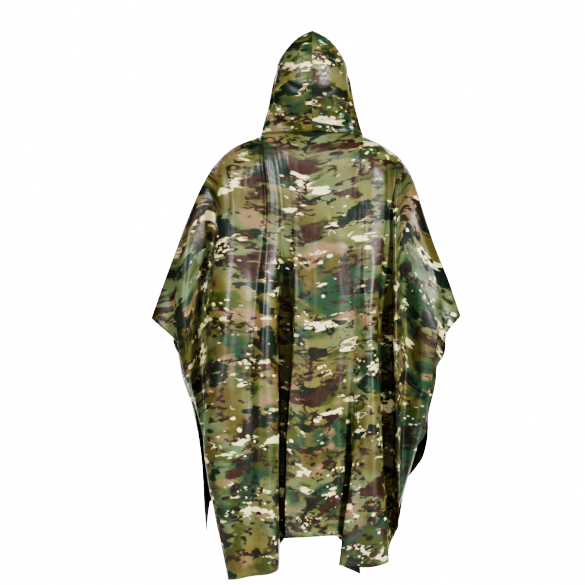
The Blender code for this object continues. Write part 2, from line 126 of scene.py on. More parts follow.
#              u seam   u hem  cells x1     y1      x2     y2      x3     y3     x hem  y hem   z hem
BACK_LEFT = (
    ("plateau", 0.045, 0.07, 4, 0.036, 0.137, 0.037, 0.146, 0.058, 0.15, 0.062, 0.152, -1.06),
    ("slot near", 0.05625, 0.115, 1, 0.046, 0.131, 0.045, 0.088, 0.062, 0.086, 0.067, 0.09, -1.07),
    ("slot far", 0.0675, 0.16, 1, 0.066, 0.124, 0.078, 0.086, 0.076, 0.085, 0.075, 0.088, -1.084),
    ("roll edge", 0.09, 0.235, 2, 0.084, 0.134, 0.087, 0.15, 0.08, 0.16, 0.079, 0.166, -1.138),
    ("roll", 0.1125, 0.29, 2, 0.106, 0.137, 0.116, 0.172, 0.11, 0.182, 0.106, 0.186, -1.15),
    ("soft dip", 0.1575, 0.36, 4, 0.128, 0.124, 0.155, 0.146, 0.172, 0.156, 0.15, 0.162, -1.158),
    ("broad", 0.215, 0.44, 2, 0.19, 0.124, 0.212, 0.15, 0.226, 0.158, 0.186, 0.16, -1.166),
    ("flank", 0.262, 0.51, 2, 0.238, 0.096, 0.256, 0.114, 0.278, 0.11, 0.214, 0.126, -1.172),
    ("underarm", 0.32, 0.57, 2, 0.256, 0.044, 0.29, 0.03, 0.27, 0.052, 0.194, 0.092, -1.174),
    ("sleeve fall", 0.42, 0.63, 2, 0.284, 0.062, 0.33, 0.074, 0.282, 0.05, 0.208, 0.082, -1.175),
    ("arm", 0.54, 0.68, 2, 0.34, 0.03, 0.352, 0.056, 0.28, 0.03, 0.214, 0.062, -1.176),
)
BACK_RIGHT = (
    ("plateau", 0.0675, 0.085, 6, 0.07, 0.137, 0.076, 0.142, 0.076, 0.142, 0.068, 0.142, -1.054),
    ("soft dip", 0.10125, 0.16, 3, 0.108, 0.134, 0.114, 0.13, 0.112, 0.114, 0.138, 0.084, -1.162),
    ("roll edge", 0.135, 0.24, 3, 0.13, 0.136, 0.134, 0.144, 0.12, 0.15, 0.076, 0.158, -1.128),
    ("roll", 0.165, 0.31, 2, 0.152, 0.14, 0.158, 0.164, 0.164, 0.178, 0.15, 0.188, -1.132),
    ("roll side", 0.21, 0.385, 2, 0.2, 0.126, 0.18, 0.146, 0.192, 0.152, 0.212, 0.158, -1.118),
    ("slot near", 0.224, 0.43, 1, 0.21, 0.11, 0.186, 0.088, 0.198, 0.087, 0.21, 0.098, -1.108),
    ("slot far", 0.24, 0.47, 1, 0.22, 0.098, 0.22, 0.076, 0.224, 0.076, 0.218, 0.086, -1.08),
    ("rib", 0.258, 0.515, 2, 0.23, 0.116, 0.23, 0.132, 0.236, 0.136, 0.238, 0.118, -1.03),
    ("underarm", 0.3, 0.59, 2, 0.248, 0.082, 0.262, 0.038, 0.254, 0.052, 0.232, 0.072, -1.01),
    ("sleeve fall", 0.4, 0.64, 2, 0.274, 0.05, 0.31, 0.062, 0.28, 0.058, 0.234, 0.052, -1.02),
    ("arm", 0.54, 0.685, 2, 0.33, 0.03, 0.344, 0.056, 0.298, 0.036, 0.226, 0.036, -1.04),
)
FRONT_LEFT = (
    ("plateau", 0.045, 0.08, 4, 0.045, 0.148, 0.05, 0.165, 0.055, 0.176, 0.06, 0.184, -1.006),
    ("dip", 0.09, 0.16, 4, 0.082, 0.138, 0.084, 0.122, 0.087, 0.106, 0.09, 0.1, -1.012),
    ("roll", 0.135, 0.27, 4, 0.118, 0.144, 0.124, 0.17, 0.132, 0.19, 0.138, 0.2, -1.022),
    ("valley", 0.18, 0.37, 2, 0.164, 0.124, 0.178, 0.112, 0.184, 0.104, 0.184, 0.1, -1.012),
    ("broad", 0.24, 0.46, 2, 0.214, 0.114, 0.232, 0.146, 0.24, 0.164, 0.228, 0.168, -1.0),
    ("underarm", 0.32, 0.55, 2, 0.262, 0.052, 0.29, 0.054, 0.274, 0.084, 0.25, 0.094, -0.986),
    ("arm", 0.5, 0.65, 3, 0.33, 0.04, 0.35, 0.064, 0.294, 0.036, 0.266, 0.024, -0.978),
)
FRONT_RIGHT = (
    ("plateau", 0.0675, 0.095, 6, 0.055, 0.145, 0.06, 0.15, 0.064, 0.152, 0.07, 0.152, -1.004),
    ("dip", 0.10125, 0.18, 3, 0.098, 0.136, 0.104, 0.118, 0.11, 0.104, 0.114, 0.098, -1.01),
    ("roll", 0.135, 0.3, 3, 0.14, 0.142, 0.152, 0.174, 0.162, 0.196, 0.164, 0.204, -1.026),
    ("valley", 0.205, 0.4, 2, 0.19, 0.118, 0.202, 0.106, 0.202, 0.1, 0.196, 0.096, -1.022),
    ("broad", 0.26, 0.49, 2, 0.232, 0.106, 0.246, 0.14, 0.25, 0.156, 0.228, 0.16, -1.018),
    ("underarm", 0.33, 0.57, 2, 0.264, 0.052, 0.284, 0.056, 0.276, 0.078, 0.228, 0.086, -1.016),
    ("arm", 0.5, 0.66, 3, 0.322, 0.04, 0.342, 0.064, 0.304, 0.044, 0.222, 0.04, -1.03),
)
MIDDLE_BACK = ("middle", 0.0, 0.0, 0, 0.0, 0.137, 0.0, 0.14, 0.0, 0.142, 0.0, 0.142, -1.058)
MIDDLE_FRONT = ("middle", 0.0, 0.0, 0, 0.0, 0.145, 0.0, 0.15, 0.0, 0.154, 0.0, 0.158, -1.002)
EDGE_CELLS = 3            # from the last fold to the side edge
print("folds", len(BACK_LEFT) + len(BACK_RIGHT), "behind,", len(FRONT_LEFT) + len(FRONT_RIGHT), "in front")

# %% Tables of side edges
# ---- side edges below the elbow: height, x and y ------------------------------------------------
#    z      x      y
EDGE_BACK_LEFT = (
    (-0.546, 0.354, 0.03),
    (-0.592, 0.324, 0.014),
    (-0.7, 0.302, 0.01),
    (-0.85, 0.276, 0.016),
    (-0.98, 0.258, 0.03),
    (-1.176, 0.213, 0.05),
)
EDGE_BACK_RIGHT = (
    (-0.529, 0.37, 0.034),
    (-0.558, 0.368, 0.032),
    (-0.592, 0.355, 0.024),
    (-0.659, 0.313, 0.008),
    (-0.78, 0.316, 0.012),
    (-0.871, 0.258, 0.026),
    (-0.95, 0.236, 0.03),
    (-1.05, 0.222, 0.022),
)
EDGE_FRONT_LEFT = (
    (-0.546, 0.359, -0.028),
    (-0.578, 0.352, -0.02),
    (-0.596, 0.328, -0.012),
    (-0.7, 0.312, 0.0),
    (-0.85, 0.289, 0.01),
    (-0.98, 0.281, 0.022),
    (-1.063, 0.275, 0.03),
)
EDGE_FRONT_RIGHT = (
    (-0.529, 0.371, -0.032),
    (-0.558, 0.368, -0.03),
    (-0.59, 0.353, -0.022),
    (-0.659, 0.31, -0.006),
    (-0.79, 0.324, -0.01),
    (-0.855, 0.311, -0.012),
    (-0.885, 0.292, -0.012),
    (-0.93, 0.261, -0.014),
    (-1.0, 0.252, -0.014),
    (-1.04, 0.243, -0.016),
    (-1.076, 0.223, -0.016),
)
print("lowest side edge", min(EDGE_BACK_LEFT[-1][0], EDGE_BACK_RIGHT[-1][0]), "m")

# %% Table of the hood
# ---- hood, neck (0) to crown (1): half width, back, face edge, and how far round the face edge is --
#          up     wide    back    face    turn (degrees from the nape)
HOOD = (
    (0.0, 0.14, 0.078, -0.104, 165),
    (0.08, 0.134, 0.09, -0.106, 150),
    (0.19, 0.1255, 0.105, -0.108, 134),
    (0.31, 0.117, 0.12, -0.11, 124),
    (0.46, 0.109, 0.13, -0.113, 118),
    (0.6, 0.101, 0.13, -0.118, 114),
    (0.72, 0.092, 0.121, -0.122, 111),
    (0.82, 0.077, 0.106, -0.124, 109),
    (0.9, 0.058, 0.088, -0.122, 107),
    (0.97, 0.026, 0.066, -0.116, 105),
    (1.0, 0.0, 0.05, -0.108, 104),
)
CROWN_FALL = 0.30         # how steeply the crown seam falls towards the forehead
print("hood", 2 * HOOD[0][1], "m wide at the neck and", HOOD_TALL, "m tall")

# %% [markdown]
# ## A curve that never overshoots
#
# A plain cubic through a row of points swings past them, and on cloth that shows as ripples nobody
# sewed. This one keeps its slope between the slopes on both sides and levels off at every crest and
# valley, which is also what a soft roll of coated cloth does.


# %% Smooth curve
def spline(knots, values, at):
    """Cubic through rows of values at rising knots, for one place or many."""
    knots, values = np.asarray(knots, float), np.asarray(values, float)
    at = np.clip(np.atleast_1d(np.asarray(at, float)), knots[0], knots[-1])
    span = np.diff(knots)[:, None]
    rise = np.diff(values, axis=0) / span
    both = rise[:-1] * rise[1:]
    mean = 2 * both / np.where(np.abs(rise[:-1] + rise[1:]) < 1e-9, 1.0, rise[:-1] + rise[1:])
    slope = np.vstack([rise[:1], np.where(both > 0, mean, 0.0), rise[-1:]])
    i = np.clip(np.searchsorted(knots, at, side="right") - 1, 0, len(knots) - 2)
    s = ((at - knots[i]) / span[i, 0])[:, None]
    return (values[i] * (1 + 2 * s) * (1 - s) ** 2 + values[i + 1] * s * s * (3 - 2 * s)
            + span[i] * s * (1 - s) * (slope[i] * (1 - s) - slope[i + 1] * s))


def length_along(points):
    """Length from the first point to each point of a line."""
    return np.concatenate([[0], np.cumsum(np.linalg.norm(np.diff(points, axis=0), axis=1))])


def smooth_step(value):
    held = np.clip(value, 0, 1)
    return held * held * (3 - 2 * held)


print("halfway between 0 and 1:", float(spline([0, 1, 2], [[0], [1], [1]], 0.5)[0, 0]))


# %% [markdown]
# ## The line that the cloth hangs from
#
# A poncho hangs from its neck seam and from the seam over the shoulders and arms. Below them only the
# studs hold it. The line could be drawn as a curve object, but a function of the place in the cloth
# says at once where any fold starts. Each half of a panel hangs from a quarter of the neck ring and
# then from the shoulder and arm line.


# %% Neck ring and shoulder line
def ring_height(y):
    return NECK_RISE - NECK_DIP * ((NECK_BACK - y) / (NECK_BACK + NECK_FRONT)) ** 3


def ring_point(degrees):
    """Point of the neck seam, 0 at the nape, positive towards +X."""
    turn = math.radians(degrees)
    y = (NECK_BACK if math.cos(turn) > 0 else NECK_FRONT) * math.cos(turn)
    return np.array((NECK_X + NECK_WIDE * math.sin(turn), y, ring_height(y)))


class TopLine:
    """Half of a panel's upper edge: neck ring, then shoulder and arm."""

    def __init__(self, side, front):
        self.side, self.front = side, front
        column = 0 if side > 0 else 2
        rows = [(side * row[column], row[4], row[column + 1]) for row in RIDGE]
        self.points = np.array([ring_point(90 * side)] + rows)
        run = length_along(self.points)
        self.knots = NECK_HALF + run * (HALF_WIDTH - NECK_HALF) / run[-1]

    def point(self, u):
        if u < NECK_HALF:
            quarter = 90 * u / NECK_HALF
            return ring_point(self.side * (180 - quarter if self.front else quarter))
        return spline(self.knots, self.points, u)[0]


print("elbow at", np.round(TopLine(1, False).point(HALF_WIDTH), 3))


# %% [markdown]
# ## Hanging a panel
#
# A cloth simulation could drape the panel, but it can't be told where a slot or a roll lies, and one
# wrong fold means running it again. So each fold is a line hung from the seam, and every row across
# joins the folds with the smooth curve. Near a stud the row is drawn flat. The panel keeps two things
# for every point: where it hangs, and where it lies in the flat cloth. The second gives the cut, the
# hems and the stitches.


# %% The panel
SHOULDER_ROUND = 0.10     # height over which a fold turns down from the seam
EDGE_ROUND = 0.04         # the same at the side edge
NEAR_SEAM = 0.05          # a height this close below a fold's start is left out


class Panel:
    """Front or back of the poncho, each side hung from its top line by its folds."""

    def __init__(self, left, right, middle, edges, front):
        self.facing = -1 if front else 1
        self.sides = {}
        for side, rows, edge in ((1, left, edges[0]), (-1, right, edges[1])):
            top = TopLine(side, front)
            lines = [self.fold_line(top, row) for row in (middle,) + rows]
            lines.append(self.edge_line(top, edge))
            lengths, curve = lines[-1][3]
            stud = np.interp(-STUD_HEIGHT[side], -curve[:, 2], lengths)
            self.sides[side] = (top, lines, stud)

    def fold_line(self, top, row):
        name, u_seam, u_hem, cells = row[:4]
        start = top.point(u_seam)
        stations = [(start[2], start[0] * top.side, row[5])]
        for height, x, y in zip(HEIGHTS, row[4:10:2], row[5:10:2]):
            if height < start[2] - NEAR_SEAM:
                stations.append((height, x, y))
        stations.append((row[12], row[10], row[11]))
        return u_seam, u_hem, cells, self.hang(top, start, stations, SHOULDER_ROUND)

    def edge_line(self, top, rows):
        start = top.point(HALF_WIDTH)
        stations = [(start[2], start[0] * top.side, rows[0][2] * self.facing)]
        stations += [(z, x, y * self.facing) for z, x, y in rows]
        return HALF_WIDTH, HALF_WIDTH, EDGE_CELLS, self.hang(top, start, stations, EDGE_ROUND)

    def hang(self, top, start, stations, rounding):
        """Curve down through the stations, rounded over the shoulder."""
        falls = [start[2] - s[0] for s in stations]
        fall = falls[-1] * np.linspace(0, 1, 161) ** 1.5
        held = spline(falls, [(s[1] * top.side, s[2] * self.facing) for s in stations], fall)
        over = np.sqrt(1 - (1 - np.minimum(1.0, fall / rounding)) ** 2)
        y = start[1] + (held[:, 1] - start[1]) * over
        curve = np.stack([held[:, 0], y, start[2] - fall], axis=1)
        return length_along(curve), curve

    def across(self, side, t):
        """One row from the middle to the side edge: points and how far down the cloth they are."""
        top, lines, stud = self.sides[side]
        seam_knots = np.array([line[0] for line in lines])
        knots = np.array([line[0] + (line[1] - line[0]) * t for line in lines])
        held = np.array([[np.interp(t * run[-1], run, curve[:, k]) for k in range(3)]
                         for seam, hem, cells, (run, curve) in lines])
        drop = np.array([t * line[3][0][-1] for line in lines])
        steps = [np.arange(1, line[2] * FINER + 1) / (line[2] * FINER) + k
                 for k, line in enumerate(lines[1:])]
        fold = np.concatenate([[0.0]] + steps)
        u = np.interp(fold, range(len(lines)), knots)
        points = spline(knots, held, u)
        fade = max(0.0, 1 - t / SETTLE) ** 2
        if fade:
            place = np.interp(fold, range(len(lines)), seam_knots)
            drawn = spline(seam_knots, [line[3][1][0] for line in lines], place)
            points += (np.array([top.point(p) for p in place]) - drawn) * fade
        edge = held[-1]
        away = np.hypot((HALF_WIDTH - STUD_INSET - u) / STUD_ACROSS, (drop[-1] - stud) / STUD_ALONG)
        pull = (np.maximum(0.0, 1 - away ** 4) ** 2)[:, None]
        flat = np.stack([edge[0] + side * STUD_DRAW * (HALF_WIDTH - u),
                         np.full(len(u), self.facing * STUD_MEET), points[:, 2]], axis=1)
        points = points * (1 - pull) + flat * pull
        return points, spline(knots, drop[:, None], u)[:, 0]

    def grid(self, rows):
        """Points from the +X edge to the -X edge, seam to hem, and their places in the cloth."""
        points, cloth = [], []
        for j in range(rows + 1):
            p1, d1 = self.across(1, j / rows)
            p2, d2 = self.across(-1, j / rows)
            row = np.vstack([p1[:0:-1], (p1[:1] + p2[:1]) / 2, p2[1:]])
            run = length_along(row)
            drop = np.concatenate([d1[:0:-1], [(d1[0] + d2[0]) / 2], d2[1:]])
            points.append(row)
            cloth.append(np.stack([run[len(p1) - 1] - run, drop], axis=1))
        return np.array(points), np.array(cloth)


back_panel = Panel(BACK_LEFT, BACK_RIGHT, MIDDLE_BACK, (EDGE_BACK_LEFT, EDGE_BACK_RIGHT), False)
front_panel = Panel(FRONT_LEFT, FRONT_RIGHT, MIDDLE_FRONT, (EDGE_FRONT_LEFT, EDGE_FRONT_RIGHT), True)
print("studs sit", [round(float(back_panel.sides[side][2]), 3) for side in (1, -1)], "m down the side edges")

# %% [markdown]
# ## Where the print lies
#
# The pattern runs level across the back and slants down the arms, where the cloth is drawn out to the
# side. Thrown on from behind it would smear over the sides of the folds. So the place of each point
# in the print is measured out from the middle, in metres, row by row, and is turned on the arms.


# %% Place in the print
PIVOT_OUT, PIVOT_DOWN = 0.42, 0.40       # the print turns about the valley under the arm,
VALLEY_OUT = 0.27                        # which hangs this far out
LOW_FROM, LOW_OVER = 0.60, 0.20          # below this the arm's print joins on to the back's
ARM_DEPTH = 0.7                          # share of a fold's depth that widens the arm's print
BLEND_CELLS = 16                         # cells over which the one print turns into the other
BACK_TILT, ARM_TILT = 7, 36              # degrees
BACK_TILT_BY = 0.2                       # the back's tilt is full this far out
TILT_TO, TILT_OVER = 0.80, 0.30          # the arm's tilt fades out over the last of this height


def print_place(points, cloth, valley):
    """Where each point lies in the print: level on the back, turned to lie along the arms."""
    middle = int(np.argmin(np.abs(cloth[0, :, 0])))
    last = points.shape[1] - 1
    column = np.arange(last + 1)
    side = np.where(column <= middle, 1.0, -1.0)

    def outwards(steps):
        run = np.concatenate([np.zeros((len(points), 1)), np.cumsum(steps, axis=1)], axis=1)
        return np.abs(run - run[:, middle:middle + 1])

    across = outwards(np.linalg.norm(np.diff(points[..., :2], axis=1), axis=2))
    depth = outwards(np.abs(np.diff(points[..., 1], axis=1)))
    wide = outwards(np.abs(np.diff(points[..., 0], axis=1)))
    half, z = np.abs(points[..., 0]), points[..., 2]

    def at_valley(values):
        left, right = values[:, [valley]], values[:, [last - valley]]
        return np.where(column <= middle, left, right)

    low = smooth_step((-z - LOW_FROM) / LOW_OVER)
    start = (at_valley(half) - VALLEY_OUT) * (1 - low) + (at_valley(across) - PIVOT_OUT) * low
    on_arm = start + wide - at_valley(wide) + ARM_DEPTH * (depth - at_valley(depth))
    sleeve = smooth_step((valley + BLEND_CELLS / 2 - np.minimum(column, last - column)) / BLEND_CELLS)
    out = (across - PIVOT_OUT) * (1 - sleeve) + on_arm * sleeve
    tilt = ARM_TILT * sleeve * smooth_step((z + TILT_TO) / TILT_OVER)
    turn = np.radians(BACK_TILT * np.minimum(half / BACK_TILT_BY, 1) + tilt)
    down = -z - PIVOT_DOWN
    along = PIVOT_OUT + out * np.cos(turn) + down * np.sin(turn)
    below = PIVOT_DOWN + down * np.cos(turn) - out * np.sin(turn)
    return np.stack([side * along, -below], axis=2)


print("on the arms the print turns by", ARM_TILT, "degrees")

# %% [markdown]
# ## Both panels
#
# The front is hung in the same way as the back. Only its tables differ, and its folds are plainer.


# %% Hang the panels
def normals_of(points, facing):
    """Unit normals of a grid, turned to the side given by facing."""
    across = np.gradient(points, axis=1)
    down = np.gradient(points, axis=0)
    normal = np.cross(down, across) * facing
    return normal / np.maximum(np.linalg.norm(normal, axis=2, keepdims=True), 1e-9)


back_points, back_cloth = back_panel.grid(ROWS)
front_points, front_cloth = front_panel.grid(ROWS)
# columns from the side edge in to the underarm fold, as the cells in the tables add up
BACK_VALLEY, FRONT_VALLEY = (EDGE_CELLS + 4) * FINER, (EDGE_CELLS + 3) * FINER
back_print = print_place(back_points, back_cloth, BACK_VALLEY)
front_print = print_place(front_points, front_cloth, FRONT_VALLEY)
print("back", back_points.shape, "front", front_points.shape)

# %% [markdown]
# ## Creases placed by hand
#
# ## Creases placed one by one
# studs, where the cloth is pulled. Thin valleys run beside the rolls. And the poncho was folded into
# its bag, which leaves straight shallow folds across the back. Each row gives the crease's two ends
# in x and z, its half width, and its depth, where a negative depth stands out as a ridge.

# %% Creases
#   x from   z from   x to    z to   width  depth  sharp (1) or soft (0)
BACK_CREASES = (
    (0.126, -0.015, 0.114, -0.26, 0.005, 0.006, 0),
    (0.114, -0.03, 0.101, -0.24, 0.007, -0.003, 0),
    (0.156, -0.028, 0.16, -0.15, 0.007, 0.004, 0),
    (0.215, -0.085, 0.218, -0.23, 0.009, 0.0045, 0),
    (0.182, -0.05, 0.196, -0.19, 0.009, 0.003, 0),
    (0.24, -0.1, 0.262, -0.24, 0.01, 0.0035, 0),
    (0.258, -0.33, 0.3, -0.4, 0.012, 0.004, 0),
    (0.24, -0.42, 0.3, -0.52, 0.014, 0.0035, 0),
    (-0.2136, -0.05, -0.214, -0.26, 0.0045, 0.006, 0),
    (-0.239, -0.076, -0.24, -0.46, 0.005, 0.0045, 0),
    (-0.16, -0.04, -0.15, -0.18, 0.008, 0.0028, 0),
    (-0.12, -0.06, -0.126, -0.26, 0.011, 0.0025, 0),
    (-0.262, -0.13, -0.29, -0.3, 0.01, 0.004, 0),
    (-0.29, -0.25, -0.345, -0.43, 0.012, 0.0035, 0),
    (-0.31, -0.655, -0.256, -0.716, 0.007, 0.006, 0),
    (-0.3, -0.65, -0.262, -0.56, 0.01, 0.005, 0),
    (0.298, -0.64, 0.25, -0.69, 0.008, 0.005, 0),
    (0.3, -0.636, 0.262, -0.56, 0.009, 0.0045, 0),
    (0.15, -0.3, 0.154, -0.76, 0.016, 0.005, 0),
    (0.134, -0.56, 0.128, -0.98, 0.012, -0.003, 0),
    (0.186, -0.42, 0.196, -0.9, 0.013, 0.003, 0),
    (0.218, -0.62, 0.206, -1.02, 0.012, 0.0035, 0),
    (0.02, -0.62, 0.014, -1.05, 0.014, 0.0025, 0),
    (-0.03, -0.56, -0.036, -0.9, 0.015, 0.0022, 0),
    (-0.132, -0.7, -0.128, -1.08, 0.011, 0.003, 0),
    (-0.186, -0.56, -0.196, -1.08, 0.009, 0.003, 0),
    (-0.17, -0.3, -0.16, -0.52, 0.011, -0.003, 0),
    (-0.244, -0.52, -0.238, -0.9, 0.006, 0.0035, 0),
    (0.028, -0.02, 0.028, -0.47, 0.012, 0.0022, 1),
    (0.021, -0.86, 0.02, -1.08, 0.011, 0.0018, 1),
    (-0.012, -0.18, -0.012, -0.53, 0.011, -0.002, 1),
    (-0.058, -0.19, -0.059, -0.29, 0.008, 0.0014, 1),
    (-0.146, -0.11, -0.147, -0.47, 0.009, -0.0022, 1),
    (0.02, -0.27, -0.15, -0.288, 0.01, 0.0018, 1),
    (0.06, -0.62, -0.12, -0.615, 0.01, -0.0014, 1),
    (0.024, -0.944, -0.105, -0.944, 0.011, 0.002, 1),
)
FRONT_CREASES = (
    (0.11, -0.06, 0.09, -0.3, 0.008, 0.0045, 0),
    (-0.112, -0.06, -0.1, -0.32, 0.008, 0.0045, 0),
    (0.18, -0.06, 0.19, -0.26, 0.009, 0.0035, 0),
    (-0.19, -0.06, -0.196, -0.25, 0.009, 0.0035, 0),
    (0.24, -0.12, 0.28, -0.32, 0.011, 0.004, 0),
    (-0.25, -0.13, -0.3, -0.34, 0.011, 0.004, 0),
    (0.3, -0.64, 0.25, -0.71, 0.008, 0.0045, 0),
    (-0.3, -0.65, -0.25, -0.72, 0.008, 0.0045, 0),
    (0.13, -0.48, 0.136, -0.9, 0.013, 0.0035, 0),
    (-0.158, -0.46, -0.16, -0.92, 0.013, 0.0035, 0),
    (0.03, -0.1, 0.03, -0.62, 0.012, 0.002, 1),
    (-0.07, -0.12, -0.07, -0.7, 0.011, -0.0018, 1),
    (0.1, -0.33, -0.11, -0.336, 0.01, 0.0018, 1),
    (0.11, -0.7, -0.1, -0.694, 0.01, 0.0018, 1),
)
print("creases", len(BACK_CREASES), "behind,", len(FRONT_CREASES), "in front")

# %% [markdown]
# ## Pressing the creases in
#
# Creases could be sculpted, or left to bump. Sculpting can't be repeated from a few numbers, and bump
# leaves the outline and the shadows flat. So each crease moves the points of the grid along their
# normals. A drag line or valley is rounded and wanders a little. A packing fold is straight and
# sharper. Soft dents the size of a hand, from noise, lie under them all.


# %% Press the creases in
DENT_DEPTH = 0.0022


def crease_line(x, y, x1, y1, x2, y2):
    """Where points lie by a crease: share of its length, and distance to its side."""
    run = np.array((x2 - x1, y2 - y1))
    length = np.linalg.norm(run)
    along = ((x - x1) * run[0] + (y - y1) * run[1]) / length ** 2
    return along, ((x - x1) * run[1] - (y - y1) * run[0]) / length


def crease(points, normals, rows, facing):
    """Moves a grid of points in or out along its normals by the creases in the table."""
    x, z = points[..., 0], points[..., 2]
    shift = np.zeros(x.shape)
    for x1, z1, x2, z2, width, depth, sharp in rows:
        along, off = crease_line(x, z, x1, z1, x2, z2)
        off = off + 0.35 * width * np.sin(along * 7.0 + x1 * 60) * (1 - sharp)
        ends = smooth_step(np.minimum(along, 1 - along) * 4 + 0.15)
        tent = np.clip(1 - np.abs(off) / width, 0, 1)
        shape = tent ** 1.15 if sharp else np.exp(-(off / width) ** 2)
        shift -= depth * shape * ends
    seen = np.clip(normals[..., 1] * facing * 4 - 0.6, 0, 1)
    return points + normals * (shift * seen)[..., None]


def dent(u, v, seed):
    """Large dent with a smaller one on it, both longer down the cloth than across."""
    large = noise.noise(Vector((u * 14, v * 4.5, seed)))
    return large + 0.45 * noise.noise(Vector((u * 34 + 5, v * 15, seed + 3.3)))


def creased(points, cloth, rows, facing, seed):
    """Grid with its creases and soft hand-sized dents."""
    normals = normals_of(points, facing)
    points = crease(points, normals, rows, facing)
    shift = np.array([[dent(u, v, seed) for u, v in line] for line in cloth])
    fade = np.clip(cloth[..., 1] / 0.05, 0, 1)
    return points + normals * (DENT_DEPTH * shift * fade)[..., None]


back_points = creased(back_points, back_cloth, BACK_CREASES, 1, 1.7)
front_points = creased(front_points, front_cloth, FRONT_CREASES, -1, 8.1)
print("back's outermost point", round(float(back_points[..., 1].max()), 3), "m behind the middle")

# %% [markdown]
# ## The hood
#
# The hood is two flat panels with one curved seam from the nape over the crown. Up on the head it
# stands as a rounded shell, a little pointed where the seam turns, with drag wrinkles at its base.

# %% Hood halves
HOOD_COLUMNS = 110
HOOD_ROWS_FINE = 90
HOOD_DENT = 0.0018
SEAM_LAP = 0.0004               # the halves run this far into each other where they are sewn
#   round (0 nape, 1 face), up, round to, up to, width, depth
HOOD_CREASES = (
    (0.1, 0.02, 0.52, 0.22, 0.03, 0.004),
    (0.08, 0.1, 0.46, 0.3, 0.026, 0.003),
    (0.3, 0.0, 0.6, 0.4, 0.034, 0.0035),
    (0.2, 0.2, 0.6, 0.16, 0.022, -0.002),
    (0.04, 0.34, 0.4, 0.52, 0.03, 0.0022),
    (0.5, 0.1, 0.66, 0.6, 0.03, 0.0035),
    (0.02, 0.72, 0.3, 0.62, 0.03, 0.002),
    (0.55, 0.55, 0.95, 0.72, 0.034, 0.003),
    (0.62, 0.12, 0.97, 0.34, 0.03, 0.003),
)


def hood_half(side):
    """Grid of one half, neck to crown and nape to face, with its place in the flat cloth."""
    up = [row[0] for row in HOOD]
    j = np.arange(HOOD_ROWS_FINE + 1) / HOOD_ROWS_FINE
    h = 1 - (1 - j) ** 1.25
    table = spline(up, [row[1:] for row in HOOD], h)
    wide, back, face, turn = (table[:, k][:, None] for k in range(4))
    share = np.linspace(0, 1, HOOD_COLUMNS + 1)[None, :]
    angle = np.radians(turn * share)
    x = wide * np.sin(angle)
    y = np.where(np.cos(angle) > 0, back * np.cos(angle),
                 face * np.cos(angle) / np.cos(np.radians(turn)))
    y[0] = np.where(np.cos(angle[0]) > 0, y[0], NECK_FRONT * np.cos(angle[0]))
    low = ring_height(np.clip(y, -NECK_FRONT, NECK_BACK))
    high = HOOD_TALL - CROWN_FALL * np.maximum(0.0, 0.05 - y)
    z = low + (high - low) * h[:, None]
    points = np.stack([NECK_X + side * (x - SEAM_LAP), y, z], axis=2)
    step_u = np.linalg.norm(np.diff(points, axis=1), axis=2)
    step_v = np.linalg.norm(np.diff(points, axis=0), axis=2)
    u = np.concatenate([np.zeros((len(h), 1)), np.cumsum(step_u, axis=1)], axis=1) * side
    v = np.concatenate([np.zeros((1, HOOD_COLUMNS + 1)), np.cumsum(step_v, axis=0)], axis=0)
    normals = normals_of(points, side)
    shift = np.zeros(x.shape)
    lean = 0.0 if side > 0 else 0.05            # the right half's creases lie a little elsewhere
    for s1, h1, s2, h2, width, depth in HOOD_CREASES:
        along, off = crease_line(share + lean, h[:, None] + lean, s1, h1, s2, h2)
        off = off + 0.3 * width * np.sin(along * 6 + s1 * 20)
        ends = np.clip(np.minimum(along, 1 - along) * 3.5 + 0.1, 0, 1)
        shift -= depth * np.exp(-(off / width) ** 2) * ends
    keep = np.clip(share / 0.06, 0, 1) * np.clip(h[:, None] / 0.05, 0, 1)
    keep = keep * np.clip((1 - h[:, None]) / 0.06, 0, 1)
    dents = np.array([[noise.noise(Vector((a * 16, b * 14, 4.4 + side))) for a, b in zip(ra, rb)]
                      for ra, rb in zip(u, v)])
    points = points + normals * ((shift + HOOD_DENT * dents) * keep)[..., None]
    return points, np.stack([u, v], axis=2)


hood_points, hood_cloth = {}, {}
for side in (1, -1):
    hood_points[side], hood_cloth[side] = hood_half(side)
print("hood half", hood_points[1].shape)

# %% [markdown]
# ## From grids to sheets
#
# A sheet keeps the outer face of the cloth. Solidify then gives it a thin wall behind, with the
# dark wrong side as its second material. Two distances are stored on every point, to the nearest
# hem and to the seam, so that the finish knows where the cloth is turned and stitched.


# %% Sheet from a grid
def sheet_mesh(name, points, cloth, printed, hem, flip, shift=(0.0, 0.0)):
    """Mesh of quads with the print's place as UV map and the distances to hem and seam."""
    rows, columns = points.shape[:2]
    index = np.arange(rows * columns).reshape(rows, columns)
    quads = np.stack([index[:-1, :-1], index[:-1, 1:], index[1:, 1:], index[1:, :-1]], axis=2)
    quads = quads.reshape(-1, 4)
    if flip:
        quads = quads[:, ::-1]
    mesh = bpy.data.meshes.new(name)
    mesh.from_pydata(points.reshape(-1, 3).tolist(), [], quads.tolist())
    uv = mesh.uv_layers.new(name="cloth")
    spots = printed.reshape(-1, 2) + shift
    uv.data.foreach_set("uv", spots[quads.reshape(-1)].astype(np.float32).reshape(-1))
    for title, values in (("to_hem", hem), ("to_seam", cloth[..., 1])):
        layer = mesh.attributes.new(title, "FLOAT", "POINT")
        layer.data.foreach_set("value", values.reshape(-1).astype(np.float32))
    mesh.shade_smooth()
    mesh.update()
    return mesh


def hem_distance(cloth):
    """How far each point of a panel is from the hem or the side edge."""
    to_edge = np.minimum(cloth[:, :1, 0] - cloth[..., 0], cloth[..., 0] - cloth[:, -1:, 0])
    to_hem = cloth[-1:, :, 1] - cloth[..., 1]
    return np.minimum(to_edge, to_hem)


